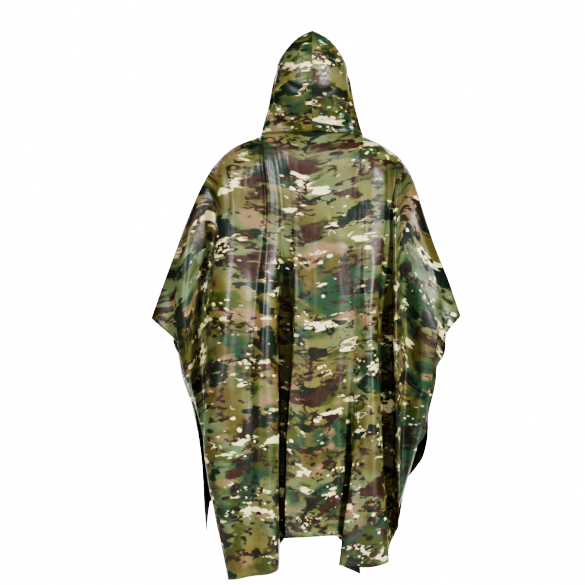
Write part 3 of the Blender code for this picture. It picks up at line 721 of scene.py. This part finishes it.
back_hem, front_hem = hem_distance(back_cloth), hem_distance(front_cloth)
meshes = {
    "back": sheet_mesh("back_panel", back_points, back_cloth, back_print, back_hem, True),
    "front": sheet_mesh("front_panel", front_points, front_cloth, front_print, front_hem, False,
                        (3.1, 0.4)),
}
for side, word in ((1, "left"), (-1, "right")):
    cloth = hood_cloth[side]
    to_face = np.abs(cloth[:, -1:, 0]) - np.abs(cloth[..., 0])
    meshes["hood_" + word] = sheet_mesh("hood_half_" + word, hood_points[side], cloth, cloth * (1, -1),
                                        to_face, side > 0, (1.7 + side, 2.9))
print({name: len(mesh.polygons) for name, mesh in meshes.items()})

# %% [markdown]
# ## A helper for node trees
#
# Every finish below is a small tree of nodes. The first helper makes one node, sets its values and
# links its inputs in one call, so that a tree reads like a recipe. The others start a group or a
# material.


# %% Node helpers
def add(tree, kind, inputs=None, **settings):
    """New node with settings. An input is a value or a socket to link from."""
    made = tree.nodes.new(kind)
    for name, value in settings.items():
        setattr(made, name, value)
    for key, value in (inputs or {}).items():
        if isinstance(value, bpy.types.NodeSocket):
            tree.links.new(value, made.inputs[key])
        else:
            made.inputs[key].default_value = value
    return made


def node_group(name, kind, inputs, outputs):
    """New group with named sockets: the tree, what comes in, and what goes out."""
    tree = bpy.data.node_groups.new(name, kind)
    for way, sockets in (("INPUT", inputs), ("OUTPUT", outputs)):
        for title, socket in sockets:
            tree.interface.new_socket(title, in_out=way, socket_type="NodeSocket" + socket)
    return tree, tree.nodes.new("NodeGroupInput").outputs, tree.nodes.new("NodeGroupOutput").inputs


def new_material(name):
    material = bpy.data.materials.new(name)
    material.use_nodes = True
    return material, material.node_tree, material.node_tree.nodes["Principled BSDF"].inputs


def colour(red, green, blue):
    """Paint-chart colour, 0 to 255, as the linear colour that a shader takes."""
    def linear(c):
        c = c / 255
        return c / 12.92 if c <= 0.04045 else ((c + 0.055) / 1.055) ** 2.4
    return (linear(red), linear(green), linear(blue), 1.0)


print("olive is", [round(c, 3) for c in colour(126, 122, 66)])

# %% [markdown]
# ## The print
#
# The cloth carries a plain woodland print: brushed patches of olive, sage, green, tan and cream,
# brown twigs, and small light and dark flecks, all lying across the cloth. Every layer is a noise,
# stretched across and cut at a level, laid over the one before. A second, finer noise frays the edges
# as a dry brush would. It is one group, so both panels and the hood share it, each shifted on its
# cloth as pieces cut from one roll are.

# %% Printed patches
#   name     colour               scale stretch level  edge   fray  seed
PATCHES = (
    ("sage", (92, 108, 76), 4.6, 1.3, 0.52, 0.1, 0.0, 1.0),
    ("bronze", (84, 76, 38), 5.0, 1.4, 0.54, 0.08, 0.0, 2.0),
    ("leaf", (38, 66, 44), 6.6, 1.4, 0.56, 0.045, 0.16, 9.0),
    ("tan", (124, 102, 74), 7.4, 1.6, 0.61, 0.035, 0.14, 5.0),
    ("moss", (62, 72, 28), 9.0, 1.6, 0.59, 0.03, 0.15, 18.0),
    ("cream", (214, 204, 158), 8.0, 2.5, 0.615, 0.012, 0.34, 14.0),
    ("pine", (18, 36, 24), 9.0, 1.7, 0.595, 0.012, 0.26, 23.0),
    ("earth", (58, 36, 26), 8.4, 1.9, 0.635, 0.025, 0.26, 29.0),
)
#   name     colour           scale  stretch half line share  seed
TWIGS = (
    ("bark", (46, 28, 22), 9.5, 2.1, 0.028, 0.54, 41.0),
    ("bark", (54, 34, 26), 14.0, 2.3, 0.026, 0.545, 53.0),
    ("shade", (22, 30, 18), 12.0, 1.9, 0.02, 0.585, 61.0),
    ("straw", (216, 208, 166), 12.0, 1.3, 0.007, 0.65, 67.0),
)
#   name     colour             scale  stretch size  share  seed
FLECKS = (
    ("bark", (38, 24, 18), 22.0, 2.3, 0.25, 0.535, 83.0),
    ("cream", (222, 216, 176), 32.0, 1.5, 0.21, 0.585, 71.0),
    ("straw", (208, 202, 156), 48.0, 1.6, 0.21, 0.59, 97.0),
)
print("layers", len(PATCHES) + len(TWIGS) + len(FLECKS))

# %% [markdown]
# ## Layers of noise
#
# A patch could be painted on a picture, but it would blur close to. Noise stays sharp at any distance.
# Cut at a level, it is paint above the level and the layer beneath below it. These helpers make the
# noise, cut it, and lay one colour over another.


# %% Helpers for layers
def noise_layer(tree, cloth, scale, stretch, seed, detail=2.0):
    """Noise over the cloth, longer across than down."""
    spread = add(tree, "ShaderNodeMapping", {"Vector": cloth, "Location": (seed * 1.37, seed * 0.71, seed),
                                            "Scale": (1.0, stretch, 1.0)})
    return add(tree, "ShaderNodeTexNoise", {"Vector": spread.outputs[0], "Scale": scale,
                                           "Detail": detail, "Roughness": 0.55}).outputs["Fac"]


def cut(tree, value, level, edge):
    """1 above the level, 0 below, over a narrow edge."""
    return add(tree, "ShaderNodeMapRange", {"Value": value, "From Min": level - edge,
                                           "From Max": level + edge}, clamp=True).outputs[0]


def cut_under(tree, value, level, edge):
    """1 below the level, 0 above."""
    return maths(tree, "SUBTRACT", 1.0, cut(tree, value, level, edge))


def maths(tree, operation, a, b=0.0):
    return add(tree, "ShaderNodeMath", {0: a, 1: b}, operation=operation).outputs[0]


def lay_over(tree, under, over, mask):
    return add(tree, "ShaderNodeMix", {"Factor": mask, 6: under, 7: over}, data_type="RGBA").outputs[2]


print("helpers ready:", ", ".join(f.__name__ for f in (noise_layer, cut, cut_under, lay_over)))


# %% Print group
def print_group():
    tree, given, wanted = node_group("woodland print", "ShaderNodeTree", [("Cloth", "Vector")],
                                     [("Color", "Color")])
    cloth = given["Cloth"]
    fray = maths(tree, "SUBTRACT", noise_layer(tree, cloth, 30.0, 3.0, 3.0, 3.0), 0.5)
    painted = add(tree, "ShaderNodeRGB").outputs[0]
    painted.default_value = colour(104, 100, 52)
    for name, chip, scale, stretch, level, edge, frayed, seed in PATCHES:
        value = noise_layer(tree, cloth, scale, stretch, seed)
        value = maths(tree, "ADD", value, maths(tree, "MULTIPLY", fray, frayed))
        painted = lay_over(tree, painted, colour(*chip), cut(tree, value, level, edge))
    for name, chip, scale, stretch, half, share, seed in TWIGS:
        line = noise_layer(tree, cloth, scale, stretch, seed, 3.0)
        line = maths(tree, "ABSOLUTE", maths(tree, "SUBTRACT", line, 0.5))
        line = maths(tree, "ADD", line, maths(tree, "MULTIPLY", fray, 0.03))
        line = cut_under(tree, line, half, half * 0.3)
        where = cut(tree, noise_layer(tree, cloth, 9.0, 1.6, seed + 3), share, 0.012)
        painted = lay_over(tree, painted, colour(*chip), maths(tree, "MULTIPLY", line, where))
    for name, chip, scale, stretch, size, share, seed in FLECKS:
        spread = add(tree, "ShaderNodeMapping", {"Vector": cloth, "Location": (seed, seed * 0.3, seed),
                                                "Scale": (1.0, stretch, 1.0)})
        cells = add(tree, "ShaderNodeTexVoronoi", {"Vector": spread.outputs[0], "Scale": scale})
        ragged = maths(tree, "ADD", cells.outputs["Distance"], maths(tree, "MULTIPLY", fray, 0.55))
        dot = cut_under(tree, ragged, size, 0.03)
        where = cut(tree, noise_layer(tree, cloth, 7.0, 1.3, seed + 5), share, 0.01)
        painted = lay_over(tree, painted, colour(*chip), maths(tree, "MULTIPLY", dot, where))
    tree.links.new(painted, wanted["Color"])
    return tree


woodland = print_group()
print("print group with", len(woodland.nodes), "nodes")

# %% [markdown]
# ## The cloth's own surface
#
# Coated cloth is smooth and a little glossy. Close to, it shows the squares of its weave and a fine
# crumple from being packed. Along a hem the cloth is turned over, so it steps up by a wall and
# puckers at the stitches. All of this is too small for the mesh, so it is a height for a bump.

# %% Coated cloth group
WEAVE = 0.0045            # twice the distance between the heavier threads


def coat_group():
    tree, given, wanted = node_group("coated cloth", "ShaderNodeTree",
                                     [("Cloth", "Vector"), ("To Hem", "Float"), ("To Seam", "Float")],
                                     [("Height", "Float"), ("Roughness", "Float")])
    cloth = given["Cloth"]
    crumpled = maths(tree, "MULTIPLY", noise_layer(tree, cloth, 38.0, 0.7, 7.0, 4.0), 1.5)
    dents = maths(tree, "MULTIPLY", noise_layer(tree, cloth, 120.0, 1.0, 19.0, 3.0), 0.35)
    height = maths(tree, "ADD", crumpled, dents)
    spot = add(tree, "ShaderNodeSeparateXYZ", {0: cloth})
    for axis in ("X", "Y"):
        thread = maths(tree, "SINE", maths(tree, "MULTIPLY", spot.outputs[axis], 2 * math.pi / WEAVE))
        thread = maths(tree, "POWER", maths(tree, "ABSOLUTE", thread), 14.0)
        height = maths(tree, "ADD", height, maths(tree, "MULTIPLY", thread, 0.035))
    turned = cut_under(tree, given["To Hem"], HEM, 0.0012)
    height = maths(tree, "ADD", height, maths(tree, "MULTIPLY", turned, 0.6))
    for title, place in [("To Hem", HEM - STITCH_IN)] + [("To Seam", down) for down in SEAM_ROWS]:
        near = maths(tree, "ABSOLUTE", maths(tree, "SUBTRACT", given[title], place))
        groove = cut_under(tree, near, 0.0020, 0.0018)
        pucker = maths(tree, "MULTIPLY_ADD", noise_layer(tree, cloth, 95.0, 1.0, 31.0), -1.6)
        height = maths(tree, "ADD", height, maths(tree, "MULTIPLY", groove, pucker))
    rough = add(tree, "ShaderNodeMapRange", {"Value": noise_layer(tree, cloth, 22.0, 1.0, 13.0, 3.0),
                                            "To Min": 0.34, "To Max": 0.50})
    tree.links.new(height, wanted["Height"])
    tree.links.new(rough.outputs[0], wanted["Roughness"])
    return tree


coated = coat_group()
print("coated cloth group with", len(coated.nodes), "nodes")

# %% [markdown]
# ## Two sides of one cloth
#
# The right side takes the full print. The wrong side is the coated one: nearly black, with the print
# just showing through. They are two materials on one sheet.


# %% Cloth materials
def cloth_material(name, wrong_side=False):
    material, tree, shader = new_material(name)
    place = add(tree, "ShaderNodeUVMap", uv_map="cloth").outputs[0]
    shade = add(tree, "ShaderNodeGroup", {"Cloth": place}, node_tree=woodland).outputs["Color"]
    surface = add(tree, "ShaderNodeGroup", node_tree=coated)
    tree.links.new(place, surface.inputs["Cloth"])
    for title, attribute in (("To Hem", "to_hem"), ("To Seam", "to_seam")):
        distance = add(tree, "ShaderNodeAttribute", attribute_name=attribute)
        tree.links.new(distance.outputs["Fac"], surface.inputs[title])
    if wrong_side:
        shade = lay_over(tree, shade, colour(22, 24, 20), 0.88)
    tree.links.new(shade, shader["Base Color"])
    tree.links.new(surface.outputs["Roughness"], shader["Roughness"])
    bump = add(tree, "ShaderNodeBump", {"Height": surface.outputs["Height"], "Distance": 0.001,
                                       "Strength": 0.8})
    tree.links.new(bump.outputs[0], shader["Normal"])
    shader["Specular IOR Level"].default_value = 0.45
    return material


right_side = cloth_material("printed cloth")
wrong_side = cloth_material("coated wrong side", wrong_side=True)
print(right_side.name, "and", wrong_side.name)

# %% [markdown]
# ## Hanging the sheets in the frame
#
# Each sheet takes the place of its solid. The area of its cut is summed over the flat cloth, cell by
# cell. Rows of one sheet differ a little in width, because the folds were set one by one.


# %% Sheets
def link(name, data):
    piece = bpy.data.objects.new(name, data)
    bpy.context.scene.collection.objects.link(piece)
    return piece


def cloth_sheet(name, mesh):
    piece = link(name, mesh)
    mesh.materials.append(right_side)
    mesh.materials.append(wrong_side)
    wall = piece.modifiers.new("thickness", "SOLIDIFY")
    wall.thickness = CLOTH
    wall.offset = -1
    wall.use_even_offset = False
    wall.material_offset = 1
    wall.material_offset_rim = 0
    return piece


def flat_area(cloth):
    """Area of the cut, cell by cell, in the flat cloth."""
    a, b = cloth[:-1, :-1], cloth[:-1, 1:]
    c, d = cloth[1:, 1:], cloth[1:, :-1]
    p, q = c - a, d - b
    return float(np.abs(p[..., 0] * q[..., 1] - p[..., 1] * q[..., 0]).sum() / 2)


sheets = {node: cloth_sheet(mesh.name, mesh) for node, mesh in meshes.items()}
cuts = {"back": back_cloth, "front": front_cloth, "hood_left": hood_cloth[1], "hood_right": hood_cloth[-1]}
for node, cloth in cuts.items():
    widths = np.percentile(np.ptp(cloth[..., 0], axis=1), (0, 50, 100))
    drops = np.round((cloth[-1, :, 1].min(), cloth[..., 1].max()), 3)
    print(node, "cut area", round(flat_area(cloth), 3), "m2, rows", np.round(widths, 3), "m wide, hem", drops)

# %% [markdown]
# ## Stitches
#
# A stitch is a short thread that repeats along a path, which is what Geometry Nodes are for. The
# tree turns a path of edges into a curve, spaces points along it by the pitch, and lays one small
# six-sided thread at each point. The paths are read off the sheets, a set distance in from the hem.

# %% Stitch tree
thread, tree, shader = new_material("olive thread")
fibre = add(tree, "ShaderNodeTexNoise", {"Scale": 900.0}).outputs["Fac"]
tree.links.new(lay_over(tree, colour(62, 60, 34), colour(96, 92, 58), fibre), shader["Base Color"])
shader["Roughness"].default_value = 0.6
STITCH = {"Pitch": 0.0042, "Stitch Length": 0.0030, "Thread Thickness": 0.0006}


def stitch_tree():
    sizes = [(title, "Float") for title in STITCH]
    tree, given, wanted = node_group("stitch line", "GeometryNodeTree", [("Geometry", "Geometry")] + sizes,
                                     [("Geometry", "Geometry")])
    curve = add(tree, "GeometryNodeMeshToCurve", {"Mesh": given["Geometry"]})
    spaced = add(tree, "GeometryNodeResampleCurve", {"Curve": curve.outputs[0],
                                                    "Length": given["Pitch"]}, mode="LENGTH")
    along = add(tree, "GeometryNodeInputTangent")
    turn = add(tree, "FunctionNodeAlignRotationToVector", {"Vector": along.outputs[0]}, axis="X")
    one = add(tree, "GeometryNodeMeshIcoSphere", {"Radius": 0.5, "Subdivisions": 1})
    size = add(tree, "ShaderNodeCombineXYZ", {0: given["Stitch Length"], 1: given["Thread Thickness"],
                                             2: given["Thread Thickness"]})
    laid = add(tree, "GeometryNodeInstanceOnPoints", {"Points": spaced.outputs[0], "Instance": one.outputs[0],
                                                     "Rotation": turn.outputs[0], "Scale": size.outputs[0]})
    real = add(tree, "GeometryNodeRealizeInstances", {0: laid.outputs[0]})
    coloured = add(tree, "GeometryNodeSetMaterial", {"Geometry": real.outputs[0], "Material": thread})
    tree.links.new(coloured.outputs[0], wanted["Geometry"])
    return tree


stitch_line = stitch_tree()
print("stitch tree inputs:", [s.name for s in stitch_line.interface.items_tree if s.in_out == "INPUT"])

# %% [markdown]
# ## Paths for the stitches
#
# A path is where a value of the cloth, such as the distance down from the seam, reaches the wanted
# size. It is found line by line through the grid and lifted just off the cloth.


# %% Stitch paths
LIFT = 0.0003             # how far threads and studs stand off the cloth


def path_where(points, normals, values, wanted, axis):
    """Line through a grid where values, which rise along the axis, reach wanted."""
    if axis == 1:
        points, normals, values = (np.swapaxes(a, 0, 1) for a in (points, normals, values))
    found = []
    for i in range(points.shape[1]):
        column = values[:, i]
        goal = wanted[i] if np.ndim(wanted) else wanted
        if column[0] <= goal <= column[-1]:
            found.append([np.interp(goal, column, points[:, i, k] + normals[:, i, k] * LIFT)
                          for k in range(3)])
    return found


print("threads lie", LIFT * 1000, "mm off the cloth")

# %% [markdown]
# ## Sewing
#
# Each sheet has a row of stitches round its hems and two below its seam. A hood half has one row by
# each seam. The tree turns a sheet's paths into threads, and the result becomes a plain mesh, since
# copies that exist only inside a modifier don't leave Blender.


# %% Sew the rows
def stitched(name, paths):
    """Rows of stitches along the paths, as one plain mesh."""
    verts, edges = [], []
    for path in paths:
        start = len(verts)
        verts += [tuple(p) for p in path]
        edges += [(k, k + 1) for k in range(start, start + len(path) - 1)]
    mesh = bpy.data.meshes.new(name + "_path")
    mesh.from_pydata(verts, edges, [])
    piece = link(name, mesh)
    sewing = piece.modifiers.new("stitches", "NODES")
    sewing.node_group = stitch_line
    for item in stitch_line.interface.items_tree:
        if item.in_out == "INPUT" and item.name in STITCH:
            sewing[item.identifier] = STITCH[item.name]
    done = piece.evaluated_get(bpy.context.evaluated_depsgraph_get())
    plain = bpy.data.meshes.new_from_object(done)
    piece.modifiers.remove(sewing)
    piece.data = plain
    plain.name = name
    print(name, len(plain.polygons), "faces")
    return piece


def panel_paths(points, cloth, facing):
    normals = normals_of(points, facing)
    drop, across = cloth[..., 1], cloth[..., 0]
    paths = [path_where(points, normals, drop, cloth[-1, :, 1] - HEM + STITCH_IN, 0),
             path_where(points, normals, -across, HEM - STITCH_IN - across[:, 0], 1),
             path_where(points, normals, -across, STITCH_IN - HEM - across[:, -1], 1)]
    return paths + [path_where(points, normals, drop, down, 0) for down in SEAM_ROWS]


def hood_paths(points, cloth, side):
    normals = normals_of(points, side)
    out = np.abs(cloth[..., 0])
    return [path_where(points, normals, out, out[:, -1] - HEM + STITCH_IN, 1),
            path_where(points, normals, out, SEAM_ROWS[0], 1),
            path_where(points, normals, cloth[..., 1], SEAM_ROWS[0], 0)]


stitches = {
    "back": stitched("back_stitches", panel_paths(back_points, back_cloth, 1)),
    "front": stitched("front_stitches", panel_paths(front_points, front_cloth, -1)),
    "hood_left": stitched("hood_left_stitches", hood_paths(hood_points[1], hood_cloth[1], 1)),
    "hood_right": stitched("hood_right_stitches", hood_paths(hood_points[-1], hood_cloth[-1], -1)),
}

# %% [markdown]
# ## Press studs
#
# One press stud closes each side. The cap sits on the back panel, the foot on the front one, and the
# clasp between the two cloths. Each is a turned part, so its shape is a short profile: share of the
# radius, and share of the height from the base.

# %% Stud metal and profiles
metal, tree, shader = new_material("stud metal")
tarnish = add(tree, "ShaderNodeTexNoise", {"Scale": 420.0, "Detail": 3.0}).outputs["Fac"]
dull = add(tree, "ShaderNodeMapRange", {"Value": tarnish, "To Min": 0.22, "To Max": 0.42})
tree.links.new(lay_over(tree, colour(176, 172, 160), colour(214, 212, 204), tarnish), shader["Base Color"])
tree.links.new(dull.outputs[0], shader["Roughness"])
shader["Metallic"].default_value = 1.0
CAP_PROFILE = ((0.0, 1.0), (0.30, 0.97), (0.55, 0.86), (0.66, 0.74), (0.72, 0.80), (0.86, 0.72),
               (0.97, 0.42), (1.0, 0.14), (0.97, 0.0))
CLASP_PROFILE = ((0.0, 1.0), (0.90, 1.0), (1.0, 0.92), (1.0, 0.62), (0.72, 0.55), (0.72, 0.45),
                 (1.0, 0.38), (1.0, 0.08), (0.90, 0.0))
print("stud profiles of", len(CAP_PROFILE), "and", len(CLASP_PROFILE), "points")

# %% [markdown]
# ## A turned body
#
# A stud is stamped round. The Spin tool would turn its profile too, but it leaves the poles open and
# may face the wrong way. Here the rings and the two closing fans are written out, facing outwards.


# %% Turned body
def spun(name, profile, middle, axis, radius, height, sides=36):
    """Closed turned body: profile rows are share of radius and share of height from the base."""
    lean = Vector(axis).normalized().to_track_quat("Z", "Y")
    verts = [Vector((0, 0, profile[0][1] * height))]
    for share, up in profile[1:]:
        for k in range(sides):
            turn = 2 * math.pi * k / sides
            out = radius * share
            verts.append(Vector((out * math.cos(turn), out * math.sin(turn), up * height)))
    verts.append(Vector((0, 0, profile[-1][1] * height)))
    faces = []
    for k in range(sides):
        n = (k + 1) % sides
        faces.append((0, 1 + k, 1 + n))
        for ring in range(len(profile) - 2):
            a, b = 1 + ring * sides, 1 + (ring + 1) * sides
            faces.append((a + k, b + k, b + n, a + n))
        last = 1 + (len(profile) - 2) * sides
        faces.append((last + n, last + k, len(verts) - 1))
    mesh = bpy.data.meshes.new(name)
    mesh.from_pydata([Vector(middle) + lean @ v for v in verts], [], faces)
    mesh.shade_smooth()
    mesh.set_sharp_from_angle(angle=math.radians(40))
    mesh.materials.append(metal)
    return link(name, mesh)


print("a cap has", 36 * 2 * (len(CAP_PROFILE) - 2), "triangles")

# %% [markdown]
# ## Setting the studs
#
# The solid caps give the place and size of the studs, and the cloth gives their tilt. Where a side
# edge is turned in, the stud sits on the wrong side of the cloth.


# %% Set the studs
def cloth_under(points, facing, x, z):
    """Places just outside and inside a panel by its side edge at x and z, and the way out."""
    normals = normals_of(points, facing)
    near = 2 * FINER * EDGE_CELLS // 3
    part_of = slice(0, near) if x > 0 else slice(-near, None)
    spots, tilts = points[:, part_of].reshape(-1, 3), normals[:, part_of].reshape(-1, 3)
    k = int(np.argmin(np.hypot(spots[:, 0] - x, spots[:, 2] - z)))
    spot, tilt = Vector(spots[k]), Vector(tilts[k])
    over, under = LIFT, CLOTH + LIFT
    if tilt.y * facing < 0:                  # the edge is turned in, its wrong side outwards
        tilt, over, under = -tilt, under, over
    return spot + tilt * over, spot - tilt * under, tilt


studs = {}
for word in ("left", "right"):
    low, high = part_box("stud_cap_" + word)
    x, z = (low[0] + high[0]) / 2, (low[2] + high[2]) / 2
    radius = (high[0] - low[0]) / 2
    cap_at, top, back_out = cloth_under(back_points, 1, x, z)
    foot_at, base, front_out = cloth_under(front_points, -1, x, z)
    studs["stud_cap_" + word] = spun("press_cap_" + word, CAP_PROFILE, cap_at, back_out, radius,
                                     high[1] - low[1])
    studs["stud_foot_" + word] = spun("press_foot_" + word, CAP_PROFILE, foot_at, front_out, radius,
                                      high[1] - low[1])
    studs["stud_clasp_" + word] = spun("press_clasp_" + word, CLASP_PROFILE, base, top - base,
                                       radius * 0.85, (top - base).length)
    print(word, "stud at", [round(v, 3) for v in cap_at], "clasp", round((top - base).length * 1000, 1), "mm")

# %% [markdown]
# ## One body for all pieces
#
# Nothing moves on a worn poncho, so every piece rides on the one body. Each sheet takes its stitches
# along, and the solids that the sheets and studs replace are hidden.

# %% Ride and replace
for node, piece in sheets.items():
    for part_of, slot_node in ((piece, node), (stitches[node], node)):
        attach(part_of, "root")
    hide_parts(node)
for node, piece in studs.items():
    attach(piece, "root")
    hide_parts(node)
print("declared", len(sheets), "sheets and", len(studs), "stud parts")

# %% [markdown]
# ## Floor and backdrop
#
# The poncho hangs at the height of a wearer over a pale floor that curves up into a backdrop. One
# curved sheet has no corner to cast a line behind the cloth. It is clear from its far side, so that
# the front of the poncho can be looked at too.

# %% Floor and backdrop
FLOOR = -1.46
SWEEP = 1.6
BACKDROP_TOP = 1.5
BACKDROP_HALF = 2.4


def sweep_floor():
    """Floor that curves up into a backdrop on the far side. From behind, the paper is clear."""
    profile = [(8.0, FLOOR), (-3.0, FLOOR)]
    profile += [(-3.0 - SWEEP * math.sin(a), FLOOR + SWEEP * (1 - math.cos(a)))
                for a in np.linspace(0, math.pi / 2, 24)[1:]]
    profile.append((-3.0 - SWEEP, BACKDROP_TOP))
    verts = [(x, y, z) for y, z in profile for x in (-BACKDROP_HALF, BACKDROP_HALF)]
    faces = [(2 * k, 2 * k + 2, 2 * k + 3, 2 * k + 1) for k in range(len(profile) - 1)]
    mesh = bpy.data.meshes.new("studio_sweep")
    mesh.from_pydata(verts, [], faces)
    mesh.shade_smooth()
    paper, tree, shader = new_material("studio paper")
    grain = add(tree, "ShaderNodeTexNoise", {"Scale": 3.0}).outputs["Fac"]
    tone = lay_over(tree, (0.88, 0.88, 0.88, 1), (0.92, 0.92, 0.92, 1), grain)
    tree.links.new(tone, shader["Base Color"])
    shader["Roughness"].default_value = 0.9
    either = add(tree, "ShaderNodeMixShader", {
        0: add(tree, "ShaderNodeNewGeometry").outputs["Backfacing"],
        1: tree.nodes["Principled BSDF"].outputs[0],
        2: add(tree, "ShaderNodeBsdfTransparent").outputs[0]})
    tree.links.new(either.outputs[0], tree.nodes["Material Output"].inputs["Surface"])
    mesh.materials.append(paper)
    return link("studio_sweep", mesh)


sweep_floor()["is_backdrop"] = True
print("floor", FLOOR, "m, backdrop up to", BACKDROP_TOP, "m")

# %% [markdown]
# ## Lights and camera
#
# Two tall soft lights stand well out to the left and right, so the rolls shine on their sides and the
# slots between them stay dark. A light from the front would fill the slots, so the one there is weak.
# The backdrop has a light of its own. The viewer stands squarely behind.


# %% Lights
def soft_light(name, place, aim, width, height, power, spread):
    lamp = bpy.data.lights.new(name, "AREA")
    lamp.shape = "RECTANGLE"
    lamp.size, lamp.size_y, lamp.energy = width, height, power
    lamp.spread = math.radians(spread)
    holder = link(name, lamp)
    holder.location = place
    holder.rotation_euler = (Vector(aim) - Vector(place)).to_track_quat("-Z", "Y").to_euler()


#           name    place            aim             wide  tall  watts  spread (degrees)
soft_light("key", (-3.4, 4.0, 1.5), (0, 0, -0.35), 0.8, 1.6, 50, 60)
soft_light("second", (3.6, 3.8, 1.7), (0, 0, -0.35), 0.8, 1.6, 34, 60)
soft_light("front", (0.2, 5.2, 2.2), (0, 0, -0.30), 0.5, 0.5, 7, 60)
soft_light("backdrop", (0.0, -2.4, 2.6), (0, -4.6, -0.9), 3.6, 0.8, 760, 110)
world = bpy.data.worlds.new("studio")
world.use_nodes = True
air = world.node_tree.nodes["Background"].inputs
air["Color"].default_value = (1, 1, 1, 1)
air["Strength"].default_value = 0.02
bpy.context.scene.world = world

# %% Camera
VIEW_FROM = 6.0
VIEW_WIDE = 1.5795                  # metres across the frame at the poncho
lens = bpy.data.cameras.new("viewer")
lens.sensor_width = 36
lens.lens = 36 * VIEW_FROM / VIEW_WIDE
viewer = link("viewer", lens)
viewer.location = (0.0432, VIEW_FROM, -0.4118)
viewer.rotation_euler = (math.radians(90), 0, math.radians(180))
bpy.context.scene.camera = viewer
bpy.context.scene.view_settings.look = "AgX - High Contrast"
print("lens", round(lens.lens, 1), "mm")

# %% [markdown]
# ## Measuring the result
#
# The finished poncho must fill the same box as the solids.

# %% Sizes and finish
seen_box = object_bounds()
for label, (low, high) in (("solids", cad_box), ("finished", seen_box)):
    print(label, [round((b - a) * 1000) for a, b in zip(low, high)], "mm")
